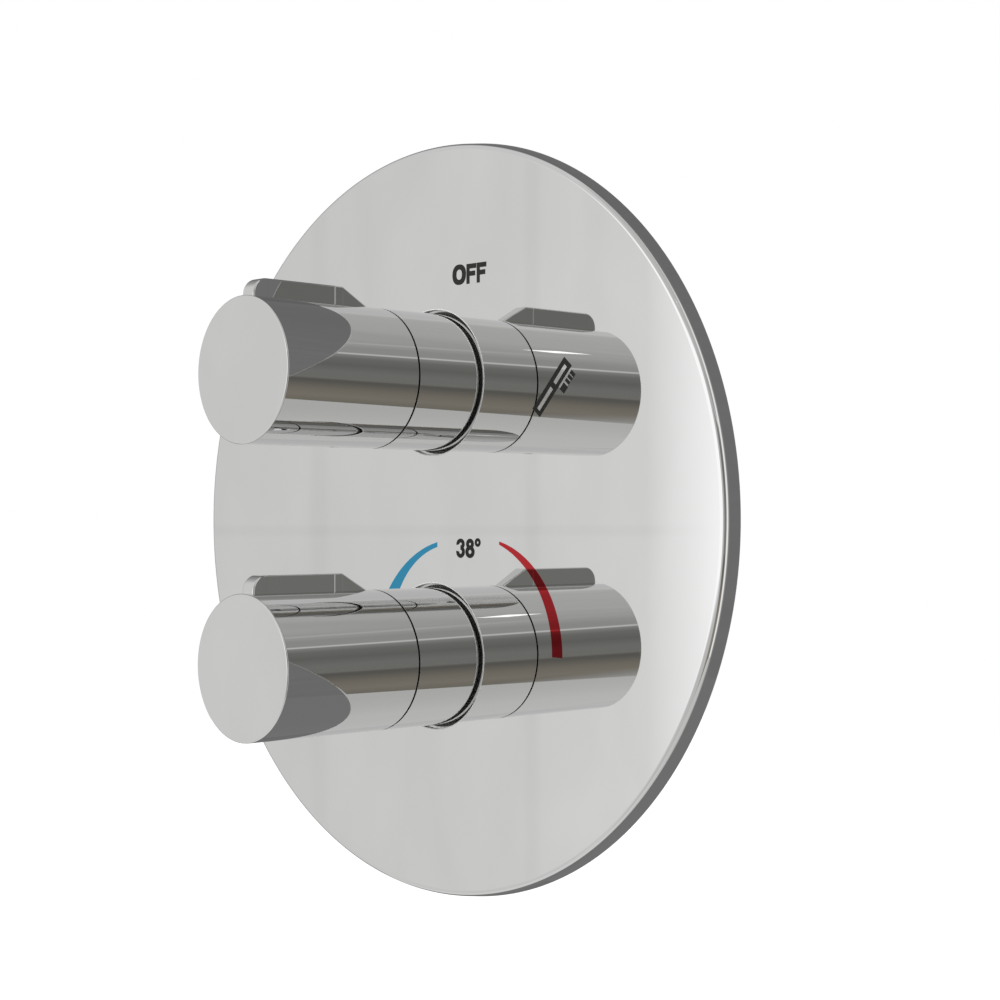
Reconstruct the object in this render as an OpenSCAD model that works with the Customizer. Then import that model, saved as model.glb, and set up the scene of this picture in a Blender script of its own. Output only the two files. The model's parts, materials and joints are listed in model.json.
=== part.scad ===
// Concealed thermostatic shower valve with a round faceplate and two lever handles.
// The upper handle is the flow and outlet control, the lower one sets the temperature.
// Millimetres. +Z is up and the front faces -Y. The origin is the middle of the faceplate
// on the finished wall, so what lies at +Y is built into the wall.
// Turned pieces are drawn in an axis frame: its x is right, its y is up and its z comes out
// of the wall. Ports are drawn in a port frame whose z points out of the port.

/* [Faceplate] */
// Diameter of the faceplate's front
plate_d = 218; // [200:1:260]
// Distance from the wall to the faceplate's front
plate_depth = 5.5; // [5.5:0.1:9]
// Thickness of the faceplate's front skin
plate_skin = 2; // [1.5:0.1:2.5]
// Thickness of the faceplate's rim
plate_rim_wall = 2.6; // [2:0.1:4]
// How much wider in radius the rim is at the wall than at the front
plate_draft = 0.9; // [0.3:0.1:2]
// Radius of the rounded front edge
plate_round = 2; // [0.5:0.1:2.4]
// Depth of the ledge inside each handle opening
ledge_depth = 2.4; // [2:0.1:2.8]
// Width of the ledge
ledge_w = 0.4; // [0.2:0.1:1]
// Thickness of the ledge
ledge_t = 0.8; // [0.5:0.1:1.2]
// Wall of the collar behind each opening
collar_wall = 1.6; // [1:0.1:3]
// Width of the foam gasket behind the rim
gasket_w = 10; // [5:0.5:15]

/* [Handles] */
// Distance between the two handle axes
handle_pitch = 80; // [74:1:120]
// Diameter of a handle
handle_d = 40; // [39:0.5:44]
// Distance from the faceplate to a handle's front face
handle_reach = 69.5; // [62:0.5:85]
// Distance from the faceplate to the line between handle and sleeve
joint_reach = 23.3; // [18:0.1:26]
// Width of the line between handle and sleeve
joint_gap = 0.4; // [0.2:0.1:0.8]
// Thickness of a handle's side wall
handle_wall = 2.2; // [1.6:0.1:3.5]
// Thickness of a handle's front wall
handle_front_wall = 3; // [2:0.5:5]
// Bevel round a handle's front face
handle_bevel = 0.3; // [0.1:0.1:1]
// Diameter of the hub inside a handle
hub_d = 17; // [16:0.5:20]
// Length of the spline insert in the hub
insert_l = 17.8; // [14:0.1:20]
// Outer diameter of the spline insert
insert_d = 13.1; // [12:0.1:14]

/* [Fin] */
// Width of the fin on a handle
fin_w = 5; // [3:0.5:8]
// Height of the fin above the handle
fin_h = 4.9; // [3:0.1:8]
// Distance from the handle's front face back to the fin
fin_setback = 2.1; // [1:0.1:6]
// Radius of the fin's front corner
fin_round = 4.4; // [1:0.1:4.8]
// Length of the fin's flat crest behind the rounded corner
fin_crest_l = 26.8; // [15:0.1:28]
// Length of the slope behind the crest
fin_slope_l = 9.4; // [5:0.1:10]
// Distance in front of the crest's end where the sides start to close in
fin_taper_l = 3; // [1:0.1:8]
// Width of the fin at the end of its slope
fin_tail_w = 3.6; // [2:0.1:5]

/* [Sleeves and seals] */
// Thickness of a sleeve's wall
sleeve_wall = 1.8; // [1.4:0.1:2]
// Bevel round a sleeve's front edge
sleeve_bevel = 0.2; // [0.1:0.1:0.5]
// Width of the rubber seal between sleeve and faceplate
seal_w = 0.8; // [0.6:0.05:1.5]
// Width of the seal's flange behind the faceplate
seal_flange_w = 2.5; // [1:0.5:5]
// Thickness of the seal's flange
seal_flange_t = 1.6; // [1:0.1:2]

/* [Spindles] */
// Diameter of a spindle in its bearing
spindle_d = 10; // [9.4:0.1:11]
// Diameter over the spline teeth
spline_tip_d = 9.2; // [9:0.1:9.2]
// Diameter at the foot of the spline teeth
spline_root_d = 8.2; // [7.6:0.1:8.6]
// Number of spline teeth
spline_teeth = 20; // [16:1:24]
// Distance from the wall to the front of a cartridge's neck
neck_reach = 10; // [8:0.5:11]
// How far a handle turns each way from rest, in degrees
turn_limit = 90; // [45:5:90]

/* [Flow cartridge] */
// Diameter of the flow cartridge's chamber in the body
flow_chamber_d = 30; // [29:0.5:32]
// Diameter of the flow cartridge's neck
flow_neck_d = 24; // [24:0.5:26]
// Diameter of the moving ceramic disc
disc_d = 23.6; // [22:0.1:24]
// Thickness of the moving ceramic disc
moving_disc_t = 3.4; // [3.2:0.1:4]
// Thickness of the fixed ceramic disc
fixed_disc_t = 3.3; // [3:0.1:4]
// Thickness of the rubber seal behind the discs
base_seal_t = 1.5; // [1:0.1:2]
// Thickness of the driver at the foot of the flow spindle
driver_t = 5.3; // [4:0.1:6]
// Thickness of the cartridge base that leads the water to the outlets
flow_base_t = 12; // [12:0.1:13]
// Diameter of the middle way through discs and base
feed_d = 6; // [5:0.5:7]
// Diameter of the two side ways through discs and base
side_way_d = 5.2; // [4:0.1:5.6]
// Distance of the side ways from the middle
side_way_at = 8.2; // [7.6:0.1:8.6]

/* [Thermostatic cartridge] */
// Diameter of the thermostatic cartridge's chamber in the body
temp_chamber_d = 33; // [32.6:0.1:34]
// Diameter of the thermostatic cartridge's neck
temp_neck_d = 26; // [25:0.5:27]
// Inner diameter of the mixing chamber
mix_d = 27; // [26.6:0.1:27.4]
// Length of the mixing shuttle
shuttle_l = 14; // [13:0.5:16]
// Outer diameter of the shuttle's two ends
shuttle_d = 25.4; // [25:0.1:25.8]
// Wall of the shuttle
shuttle_wall = 1.4; // [1:0.1:2]
// Opening between the shuttle and each of its seats at rest
seat_gap = 1.6; // [1.6:0.1:1.8]
// Advance of the drive thread in one turn
drive_lead = 3; // [1:0.1:3]
// Outer diameter of the drive nut
drive_nut_d = 18.4; // [18:0.1:18.8]
// Length of the drive nut
drive_nut_l = 11.7; // [11.5:0.1:12.5]
// Diameter of the drive thread
drive_thread_d = 8; // [7:0.1:8.4]
// Length of the overload spring
overload_l = 5.8; // [5.6:0.1:6]
// Diameter of the wax element's bulb
wax_bulb_d = 9.2; // [8:0.1:9.4]
// Length of the wax element's bulb
wax_bulb_l = 15; // [13:0.1:15.4]
// Wire diameter of the return spring
return_wire_d = 1.3; // [1:0.1:1.4]

/* [Valve body] */
// Distance from the finished wall back to the body's front face
body_setback = 8; // [7:0.5:12]
// Length of the thread of a cartridge nut in the body
nut_thread_l = 9; // [8.6:0.1:10]
// Outer diameter of the body round the flow cartridge
flow_boss_d = 41; // [40:0.5:44]
// Outer diameter of the body round the thermostatic cartridge
temp_boss_d = 45; // [45:0.5:48]
// Thickness of the body's back wall
back_wall = 4; // [4:0.5:6]
// Depth of the space behind each cartridge
sump_depth = 8; // [7.8:0.1:9]
// Diameter of the space behind each cartridge
sump_d = 20; // [14:0.5:20]
// Width of the bridge between the two bosses
bridge_w = 26; // [20:1:32]
// Diameter of the way for mixed water inside the bridge
gallery_d = 8; // [6:0.5:8]
// Distance between the wall fixing holes across
fixing_x = 48; // [46:1:60]
// Distance between the wall fixing holes in height
fixing_z = 120; // [112:1:130]
// Diameter of a wall fixing hole
fixing_d = 5.5; // [4:0.5:6.5]
// Diameter of a fixing lug
lug_d = 13; // [11:0.5:15]
// Thickness of a fixing lug
lug_t = 5; // [4:0.5:8]

/* [Ports] */
// Bore of a port's pipe thread
port_bore_d = 18.63; // [18:0.01:19]
// Length of a port's pipe thread
port_thread_l = 14; // [12:0.5:18]
// Inner diameter of a union behind its thread
union_way_d = 15; // [12:0.5:16]
// Diameter of a union's thread in the body
union_root_d = 22; // [21:0.5:23]
// Outer diameter of a union's barrel
union_barrel_d = 25.6; // [24.5:0.1:27]
// Width across the flats of a union's hexagon
union_hex_w = 27; // [26:0.5:30]
// Height of a union's hexagon
union_hex_h = 4; // [3:0.5:8]
// Outer diameter of a port boss on the body
port_boss_d = 28; // [26.6:0.2:28]
// Distance from the temperature axis to an inlet boss's end
inlet_boss_at = 40; // [40:0.5:44]
// Distance from the flow axis to an outlet boss's end
outlet_boss_at = 27; // [26.5:0.5:30]
// Length of the union's thread in an outlet boss
outlet_root_l = 7; // [6:0.1:7]
// Distance from the temperature axis to a check valve
check_at = 22.1; // [22:0.1:23]
// Diameter of a check valve housing
check_d = 18; // [17:0.1:18.2]
// Length of a check valve housing
check_l = 11.8; // [11.4:0.1:12]
// Travel of a check valve poppet
check_travel = 2; // [1:0.1:2.1]
// Thickness of a strainer disc
strainer_t = 0.8; // [0.5:0.1:1]

/* [Hidden] */
$fn = 96;

// Clearances and the overrun of cuts
overrun = 1;
run_gap = 0.05;
fit_gap = 0.05;
face_gap = 0.05;
axial_gap = 0.3;
loose_gap = 0.1;
spline_gap = 0.08;

// Distances out of the wall along a handle's axis
handle_r = handle_d / 2;
face_z = plate_depth + handle_reach;
handle_back_z = plate_depth + joint_reach + joint_gap / 2;
sleeve_front_z = plate_depth + joint_reach - joint_gap / 2;
nut_flange_t = 2;
nut_flange_z = nut_flange_t - body_setback;
sleeve_back_z = nut_flange_z + face_gap;
shoulder_z = -(body_setback + nut_thread_l);

// Faceplate
plate_r = plate_d / 2;
plate_foot_r = plate_r + plate_draft;
plate_rim_r = plate_foot_r - plate_rim_wall - plate_draft;
round_steps = 8;
seal_r = handle_r + fit_gap;
ledge_r = seal_r + seal_w + fit_gap;
opening_r = ledge_r + ledge_w;
collar_r = opening_r + collar_wall;
ledge_z = plate_depth - ledge_depth;
ledge_back_z = ledge_z - ledge_t;
seal_flange_r = ledge_r + seal_flange_w;
seal_flange_front_z = ledge_back_z - fit_gap;
gasket_r = plate_rim_r - fit_gap;
gasket_t = plate_depth - plate_skin - face_gap;

// Sleeves and their O-rings
sleeve_bore_r = handle_r - sleeve_wall;
nut_skirt_r = sleeve_bore_r - 2 * loose_gap - fit_gap;
nut_skirt_share = 0.495;
nut_skirt_wall = nut_skirt_share * (nut_skirt_r - temp_neck_d / 2 - loose_gap);
nut_skirt_setback = 1;
nut_skirt_front_z = neck_reach - nut_skirt_setback;
sleeve_groove_w = 2.2;
sleeve_groove_share = 0.667;
sleeve_groove_r = nut_skirt_r - sleeve_groove_share * nut_skirt_wall;
sleeve_oring_r = (sleeve_groove_r + sleeve_bore_r) / 2;
sleeve_oring_wire_r = (sleeve_bore_r - sleeve_groove_r) / 2 - fit_gap;
sleeve_oring_at = 8;
sleeve_oring_z = nut_flange_z + sleeve_oring_at;

// Handle hub, spline insert and grub screw
hub_r = hub_d / 2;
hub_setback = 5;
hub_back_z = handle_back_z + hub_setback;
hub_bore_r = insert_d / 2 + fit_gap;
hub_bore_front_z = hub_back_z + insert_l + 2 * loose_gap;
hub_ledge = 1.6;
hub_core_r = hub_bore_r - hub_ledge;
hub_core_setback = 2;
hub_core_front_z = face_z - handle_front_wall - hub_core_setback;
insert_r = insert_d / 2;
insert_back_z = hub_back_z + loose_gap;
insert_front_z = insert_back_z + insert_l;
grub_at = 10;
grub_z = insert_back_z + grub_at;
grub_boss_r = 3.8;
grub_hole_r = 2;
grub_r = grub_hole_r - run_gap;
grub_l = 8;
grub_tip_at = spline_tip_d / 2 + loose_gap;
grub_socket_r = 1.15;
grub_socket_l = 2.5;
grub_window_r = grub_hole_r + 2 * loose_gap;

// Spindles
spindle_r = spindle_d / 2;
bearing_r = spindle_r + run_gap;
spline_back_z = neck_reach + axial_gap;
spline_setback = 3;
spline_front_z = hub_bore_front_z - spline_setback;
spline_tooth_share = 0.3;
spline_tip_share = 0.18;
spindle_groove_depth = 1.1;
spindle_groove_r = spindle_r - spindle_groove_depth;
spindle_groove_w = 1.5;
spindle_oring_r = (spindle_groove_r + bearing_r) / 2;
spindle_oring_wire_r = (bearing_r - spindle_groove_r) / 2 - run_gap;
spindle_oring_pitch = 4;
spindle_oring_at = 5;
spindle_oring_z = neck_reach - spindle_oring_at;

// Stop rings
stop_ring_r = 9;
stop_ring_t = 3;
stop_lug_r = 11.3;
stop_lug_half_a = 15;
stop_margin_a = 1;
stop_wall_r = stop_ring_r + 2 * axial_gap;
stop_wall_front_z = neck_reach + axial_gap + stop_ring_t + axial_gap;
up_a = 90;
half_turn_a = 2 * up_a;
stop_half_a = half_turn_a - turn_limit - stop_lug_half_a - stop_margin_a;

// Flow cartridge
flow_chamber_r = flow_chamber_d / 2;
flow_barrel_r = flow_chamber_r - 3 * fit_gap;
flow_neck_r = flow_neck_d / 2;
flow_mouth_step = 2;
flow_mouth_r = flow_chamber_r + flow_mouth_step;
flow_roof_t = 6.4;
flow_roof_z = shoulder_z - flow_roof_t;
driver_top_z = flow_roof_z - axial_gap;
driver_low_z = driver_top_z - driver_t;
moving_top_z = driver_low_z - face_gap;
moving_low_z = moving_top_z - moving_disc_t;
fixed_top_z = moving_low_z - face_gap;
fixed_low_z = fixed_top_z - fixed_disc_t;
base_seal_top_z = fixed_low_z - face_gap;
base_seal_low_z = base_seal_top_z - base_seal_t;
flow_base_top_z = base_seal_low_z - face_gap;
flow_base_low_z = flow_base_top_z - flow_base_t;
flow_floor_z = flow_base_low_z - face_gap;
disc_ledge_z = moving_top_z + axial_gap;
disc_r = disc_d / 2;
fixed_disc_r = disc_r + 4 * loose_gap;
disc_recess_r = fixed_disc_r + loose_gap;
driver_margin = 1.6;
driver_r = disc_r - driver_margin;
driver_room_r = driver_r + 4 * loose_gap;
driver_tab_w = 3.9;
driver_tab_inset = 3.6;
driver_tab_at = driver_r - driver_tab_inset;
driver_tab_l = 3.2;
driver_tab_h = 1.6;
disc_slot_gap = 0.15;
disc_key_w = 3;
disc_key_l = 1.2;
crossover_w = side_way_d + 2 * loose_gap;
crossover_depth_share = 0.45;
crossover_depth = crossover_depth_share * moving_disc_t;
crossover_margin = 1.4;
crossover_l = disc_r - crossover_margin;
feed_r = feed_d / 2;
side_way_r = side_way_d / 2;
outlet_z = (flow_base_top_z + flow_base_low_z) / 2;
ring_channel_w = 4.4;
ring_channel_depth = 2.4;
ring_channel_r = flow_barrel_r - ring_channel_depth;
ring_channel_start_a = 82;
ring_channel_turn_a = 106;

// Thermostatic cartridge
temp_chamber_r = temp_chamber_d / 2;
temp_barrel_r = temp_chamber_r - 3 * fit_gap;
temp_neck_r = temp_neck_d / 2;
temp_mouth_step = 1.9;
temp_mouth_r = temp_chamber_r + temp_mouth_step;
temp_bearing_l = 13.5;
drive_room_r = drive_nut_d / 2 + 2 * loose_gap;
thrust_z = neck_reach - temp_bearing_l;
thrust_clearance = 0.8;
thrust_r = drive_room_r - thrust_clearance;
thrust_t = 2.4;
thrust_low_z = thrust_z - axial_gap - thrust_t;
drive_travel = drive_lead * turn_limit / 360;
drive_nut_room = 1.85;
drive_nut_top_z = thrust_low_z - drive_travel - drive_nut_room;
drive_nut_low_z = drive_nut_top_z - drive_nut_l;
drive_nut_wall = 3.2;
drive_nut_bore_r = 7.4;
drive_key_w = 3;
drive_key_h = 1.6;
drive_key_r = drive_nut_d / 2 + drive_key_h;
drive_thread_grip = 7.2;
drive_thread_tip_z = drive_nut_top_z - drive_thread_grip;
overload_top_z = drive_nut_top_z - drive_nut_wall - loose_gap;
overload_low_z = overload_top_z - overload_l;
overload_wire_r = 0.65;
overload_coil_r = 5.9;
overload_turns = 3;
plunger_t = 1.1;
plunger_low_z = overload_low_z - plunger_t;
plunger_r = drive_nut_bore_r - axial_gap;
plunger_pin_r = 2.4;
plunger_pin_l = 2.5;
retainer_t = 0.6;
retainer_top_z = plunger_low_z - loose_gap;
retainer_bite = 0.5;
retainer_r = drive_nut_bore_r + retainer_bite;
retainer_bore_r = 5.6;
wax_top_z = plunger_low_z - plunger_pin_l - face_gap;
wax_piston_r = 1.3;
wax_neck_l = 3;
wax_piston_l = 7.5;
wax_piston_room = 1.2;
wax_guide_r = 3.6;
wax_guide_l = 5;
wax_flange_r = 6.4;
wax_flange_t = 2.45;
wax_flange_low_z = wax_top_z - wax_neck_l - wax_guide_l - wax_flange_t;
wax_bulb_low_z = wax_flange_low_z - wax_bulb_l;
shuttle_web_z = wax_flange_low_z - face_gap;
shuttle_web_t = 2;
shuttle_rim_l = 4;
shuttle_top_z = shuttle_web_z + shuttle_rim_l;
shuttle_low_z = shuttle_top_z - shuttle_l;
shuttle_mid_z = (shuttle_top_z + shuttle_low_z) / 2;
shuttle_r = shuttle_d / 2;
mix_r = mix_d / 2;
shuttle_land_r = mix_r - 2 * loose_gap;
shuttle_land_l = 3.6;
shuttle_groove_w = 1.4;
shuttle_groove_depth = 1.05;
shuttle_groove_r = shuttle_land_r - shuttle_groove_depth;
shuttle_oring_r = (shuttle_groove_r + mix_r) / 2;
shuttle_oring_wire_r = (mix_r - shuttle_groove_r) / 2 - run_gap;
shuttle_hub_r = wax_bulb_d / 2 + 2 * loose_gap;
shuttle_way_r = 1.7;
shuttle_way_at = (shuttle_hub_r + shuttle_r - shuttle_wall) / 2;
shuttle_ways = 6;
hot_seat_z = shuttle_top_z + seat_gap;
cold_seat_z = shuttle_low_z - seat_gap;
temp_base_l = 7;
temp_barrel_low_z = cold_seat_z - temp_base_l;
temp_base_web_t = 2;
return_seat_z = temp_barrel_low_z + temp_base_web_t;
temp_base_wall = 3.3;
temp_base_bore_r = mix_r - temp_base_wall;
wax_clearance = 0.8;
temp_base_hole_r = wax_bulb_d / 2 + wax_clearance;
temp_base_way_r = 1.2;
temp_base_ways = 6;
temp_floor_z = temp_barrel_low_z - face_gap;
return_clearance = 0.9;
return_coil_r = wax_bulb_d / 2 + return_clearance + return_wire_d / 2;
return_top_z = shuttle_web_z - shuttle_web_t;
return_turns = 5;
port_offset = 5;
window_r = 1.6;
windows = 8;

// O-rings between the cartridges and the body
barrel_groove_w = 2.1;
barrel_groove_depth = 1.75;
flow_groove_r = flow_barrel_r - barrel_groove_depth;
temp_groove_r = temp_barrel_r - barrel_groove_depth;
flow_neck_oring_at = 4;
flow_base_front_oring_at = 2.2;
flow_base_back_oring_at = 1.6;
flow_oring_z = [shoulder_z - flow_neck_oring_at, flow_base_top_z - flow_base_front_oring_at,
    flow_base_low_z + flow_base_back_oring_at];
temp_front_oring_at = 6.4;
temp_back_oring_at = 3.4;
temp_oring_z = [shoulder_z - temp_front_oring_at, shuttle_mid_z,
    temp_barrel_low_z + temp_back_oring_at];

// Valve body
flow_boss_r = flow_boss_d / 2;
temp_boss_r = temp_boss_d / 2;
floor_z = min(flow_floor_z, temp_floor_z);
body_back_z = floor_z - sump_depth - back_wall;
sump_r = sump_d / 2;
gallery_r = gallery_d / 2;
gallery_step = 0.9;
gallery_depth = gallery_r + gallery_step - floor_z;
bridge_setback = 12;
bridge_front_z = shoulder_z - bridge_setback;
water_groove_w = 6;
water_groove_depth = 1.7;
water_groove_r = temp_chamber_r + water_groove_depth;
inlet_depth = -shuttle_mid_z;
outlet_depth = -outlet_z;
lug_arm_share = 0.85;
lug_arm_w = lug_arm_share * lug_d;
plug_r = 5.2;
plug_l = 7;
plug_boss_r = 7;
plug_boss_h = 3.5;
plug_boss_at = temp_boss_r + plug_boss_h;
plug_head_h = 2.5;
plug_socket_r = 2.9;
plug_socket_l = 4;

// Ports
union_root_r = union_root_d / 2;
union_socket_r = union_root_r + fit_gap;
inlet_root_at = check_at + check_l + strainer_t + 4 * face_gap;
outlet_root_at = outlet_boss_at - outlet_root_l;
port_thread_lap = 1;
union_tail_l = port_thread_l - port_thread_lap;
port_way_r = 6;
inlet_way_r = 3;
check_pocket_r = 7.5;
check_pocket_l = 1.5;
union_groove_w = 1.6;
union_groove_depth = 1.1;
union_groove_r = union_root_r - union_groove_depth;
union_oring_r = (union_groove_r + union_socket_r) / 2;
union_oring_wire_r = (union_socket_r - union_groove_r) / 2 - fit_gap;

// Check valves
check_r = check_d / 2;
check_socket_r = check_r + loose_gap;
check_seat_t = 2;
check_seat_r = 5;
check_room_r = 6.8;
check_spider_t = 1.8;
check_hub_r = 2.7;
check_stem_r = 1.5;
check_arm_w = 1.4;
check_groove_w = 1.5;
check_groove_depth = 1.1;
check_groove_r = check_r - check_groove_depth;
check_oring_r = (check_groove_r + check_socket_r) / 2;
check_oring_wire_r = (check_socket_r - check_groove_r) / 2 - fit_gap;
poppet_clearance = 0.8;
poppet_r = check_room_r - poppet_clearance;
poppet_t = 1.5;
poppet_top = check_seat_t + face_gap;
stem_setback = 0.9;
stem_end = check_l - stem_setback;
check_wire_r = 0.3;
check_coil_r = 3.8;
check_turns = 5;
strainer_hole_r = 0.8;
strainer_rings = 3;
strainer_ring_at = 2.5;

// Coil springs are swept with this many rings in a turn and corners round the wire
coil_rings = 16;
coil_sides = 6;

// Places the children in the frame of the wall: z out of the wall, y up
module out_of_wall() {
    rotate([90, 0, 0])
        children();
}

module at_flow() {
    translate([0, 0, handle_pitch / 2])
        out_of_wall()
            children();
}

module at_temp() {
    translate([0, 0, -handle_pitch / 2])
        out_of_wall()
            children();
}

// Places the children in the frame of a port: z along the port, y deeper into the wall
module at_hot_port() {
    translate([0, inlet_depth, -handle_pitch / 2])
        rotate([0, -90, 0])
            children();
}

module at_cold_port() {
    translate([0, inlet_depth, -handle_pitch / 2])
        rotate([0, 90, 0])
            children();
}

module at_overhead_port() {
    translate([0, outlet_depth, handle_pitch / 2])
        children();
}

module at_handset_port() {
    translate([0, outlet_depth, handle_pitch / 2])
        rotate([0, 90, 0])
            children();
}

// A round bar from one place to another along z
module rod(r, from, to) {
    translate([0, 0, min(from, to)])
        cylinder(r = r, h = abs(to - from));
}

// A plain ring
module ring(outer, inner, from, to) {
    difference() {
        rod(outer, from, to);
        rod(inner, min(from, to) - overrun, max(from, to) + overrun);
    }
}

// A square groove cut round a bar
module groove(outer, root, z, w) {
    ring(outer + overrun, root, z - w / 2, z + w / 2);
}

module oring(middle_r, wire_r, z) {
    translate([0, 0, z])
        rotate_extrude()
            translate([middle_r, 0])
                circle(r = wire_r);
}

// A sector of a ring, from one angle through a turn
module sector(outer, inner, from, to, start_a, turn_a) {
    translate([0, 0, from])
        rotate([0, 0, start_a])
            rotate_extrude(angle = turn_a)
                translate([inner, 0])
                    square([outer - inner, to - from]);
}

// Equal holes on a circle
module holes_round(r, at, count, from, to) {
    for (i = [0 : count - 1])
        rotate([0, 0, i * 360 / count])
            translate([at, 0, 0])
                rod(r, from, to);
}

// Radial windows through a wall
module windows_round(r, reach, count, z) {
    for (i = [0 : count - 1])
        translate([0, 0, z])
            rotate([0, 0, (i + 0.5) * 360 / count])
                rotate([0, 90, 0])
                    cylinder(r = r, h = reach);
}

// Points on a quarter circle, from one angle to another
function arc_points(x, y, r, from_a, to_a) = [
    for (i = [0 : round_steps])
        let (a = from_a + (to_a - from_a) * i / round_steps)
            [x + r * cos(a), y + r * sin(a)]
];

// Outline of a straight-sided spline with its teeth between two radii
function spline_points(tip, root, teeth) = [
    for (i = [0 : teeth - 1])
        for (p = [[-spline_tooth_share, root], [-spline_tip_share, tip],
                [spline_tip_share, tip], [spline_tooth_share, root]])
            let (a = (i + p[0]) * 360 / teeth)
                [p[1] * cos(a), p[1] * sin(a)]
];

module spline_bar(grow, from, to) {
    translate([0, 0, from])
        linear_extrude(height = to - from)
            polygon(spline_points(spline_tip_d / 2 + grow, spline_root_d / 2 + grow,
                spline_teeth));
}

// A coil spring whose ends lie between two places along z
function coil_point(mean_r, wire_r, a, rise, corner) =
    let (b = corner * 360 / coil_sides, r = mean_r + wire_r * cos(b))
        [r * cos(a), r * sin(a), rise + wire_r * sin(b)];

module coil(mean_r, wire_r, turns, from, to) {
    low = min(from, to) + wire_r;
    climb = abs(to - from) - 2 * wire_r;
    steps = turns * coil_rings;
    points = [
        for (i = [0 : steps])
            for (j = [0 : coil_sides - 1])
                coil_point(mean_r, wire_r, i * 360 / coil_rings, low + climb * i / steps, j)
    ];
    sides = [
        for (i = [0 : steps - 1])
            for (j = [0 : coil_sides - 1])
                let (k = (j + 1) % coil_sides, a = i * coil_sides, b = a + coil_sides)
                    each [[a + j, b + j, b + k], [a + j, b + k, a + k]]
    ];
    last = steps * coil_sides;
    start_cap = [for (j = [1 : coil_sides - 2]) [0, j, j + 1]];
    end_cap = [for (j = [1 : coil_sides - 2]) [last, last + j + 1, last + j]];
    polyhedron(points = points, faces = concat(sides, start_cap, end_cap));
}

// The dished faceplate: skin, rim with a rounded front edge, and a collar behind each opening
module faceplate_outline() {
    polygon(concat(
        [[0, plate_depth - plate_skin], [plate_rim_r, plate_depth - plate_skin], [plate_rim_r, 0],
            [plate_foot_r, 0]],
        arc_points(plate_r - plate_round, plate_depth - plate_round, plate_round, 0, 90),
        [[0, plate_depth]]
    ));
}

module collar() {
    rod(collar_r, ledge_back_z, plate_depth - plate_skin / 2);
}

// Opening with the ledge that holds the seal
module opening() {
    rod(ledge_r, ledge_back_z - overrun, plate_depth + overrun);
    rod(opening_r, ledge_z, plate_depth + overrun);
}

module faceplate() {
    color("gainsboro")
        difference() {
            union() {
                out_of_wall()
                    rotate_extrude()
                        faceplate_outline();
                at_flow()
                    collar();
                at_temp()
                    collar();
            }
            at_flow()
                opening();
            at_temp()
                opening();
        }
}

module plate_gasket() {
    color("dimgray")
        out_of_wall()
            ring(gasket_r, gasket_r - gasket_w, 0, gasket_t);
}

// Rubber seal level with the ledge, and its flange behind the collar
module seal_ring() {
    color("black") {
        ring(seal_r + seal_w, seal_r, seal_flange_front_z - seal_flange_t, ledge_z);
        ring(seal_flange_r, seal_r + seal_w - fit_gap, seal_flange_front_z - seal_flange_t,
            seal_flange_front_z);
    }
}

module flow_seal_ring() {
    at_flow()
        seal_ring();
}

module temp_seal_ring() {
    at_temp()
        seal_ring();
}

// Fixed sleeve that carries the handle's line through the faceplate to the cartridge nut
module sleeve() {
    color("silver")
        rotate_extrude()
            polygon([[sleeve_bore_r, sleeve_back_z], [handle_r, sleeve_back_z],
                [handle_r, sleeve_front_z - sleeve_bevel], [handle_r - sleeve_bevel, sleeve_front_z],
                [sleeve_bore_r, sleeve_front_z]]);
}

module flow_sleeve() {
    at_flow()
        sleeve();
}

module temp_sleeve() {
    at_temp()
        sleeve();
}

module sleeve_orings() {
    color("black") {
        at_flow()
            oring(sleeve_oring_r, sleeve_oring_wire_r, sleeve_oring_z);
        at_temp()
            oring(sleeve_oring_r, sleeve_oring_wire_r, sleeve_oring_z);
    }
}

// Side view of the fin: x runs out of the wall, y is the height over the axis
module fin_side() {
    front = face_z - fin_setback;
    crest = handle_r + fin_h;
    crest_back = front - fin_round - fin_crest_l;
    foot = handle_r - handle_wall / 2;
    polygon(concat(
        [[crest_back - fin_slope_l, foot], [front, foot]],
        arc_points(front - fin_round, crest - fin_round, fin_round, 0, 90),
        [[crest_back, crest], [crest_back - fin_slope_l, handle_r]]
    ));
}

// Plan of the fin: straight sides that close in towards the tail
module fin_plan() {
    front = face_z - fin_setback;
    crest_back = front - fin_round - fin_crest_l;
    tail = crest_back - fin_slope_l;
    polygon([[-fin_w / 2, front], [fin_w / 2, front], [fin_w / 2, crest_back + fin_taper_l],
        [fin_tail_w / 2, tail], [-fin_tail_w / 2, tail], [-fin_w / 2, crest_back + fin_taper_l]]);
}

module fin() {
    intersection() {
        translate([fin_w / 2 + overrun, 0, 0])
            rotate([0, -90, 0])
                linear_extrude(height = fin_w + 2 * overrun)
                    fin_side();
        translate([0, handle_r + fin_h + overrun, 0])
            rotate([90, 0, 0])
                linear_extrude(height = fin_h + handle_wall + 2 * overrun)
                    fin_plan();
    }
}

// Points straight down from the axis, for the grub screw and its hole
module down_at(z) {
    translate([0, 0, z])
        rotate([90, 0, 0])
            children();
}

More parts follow.
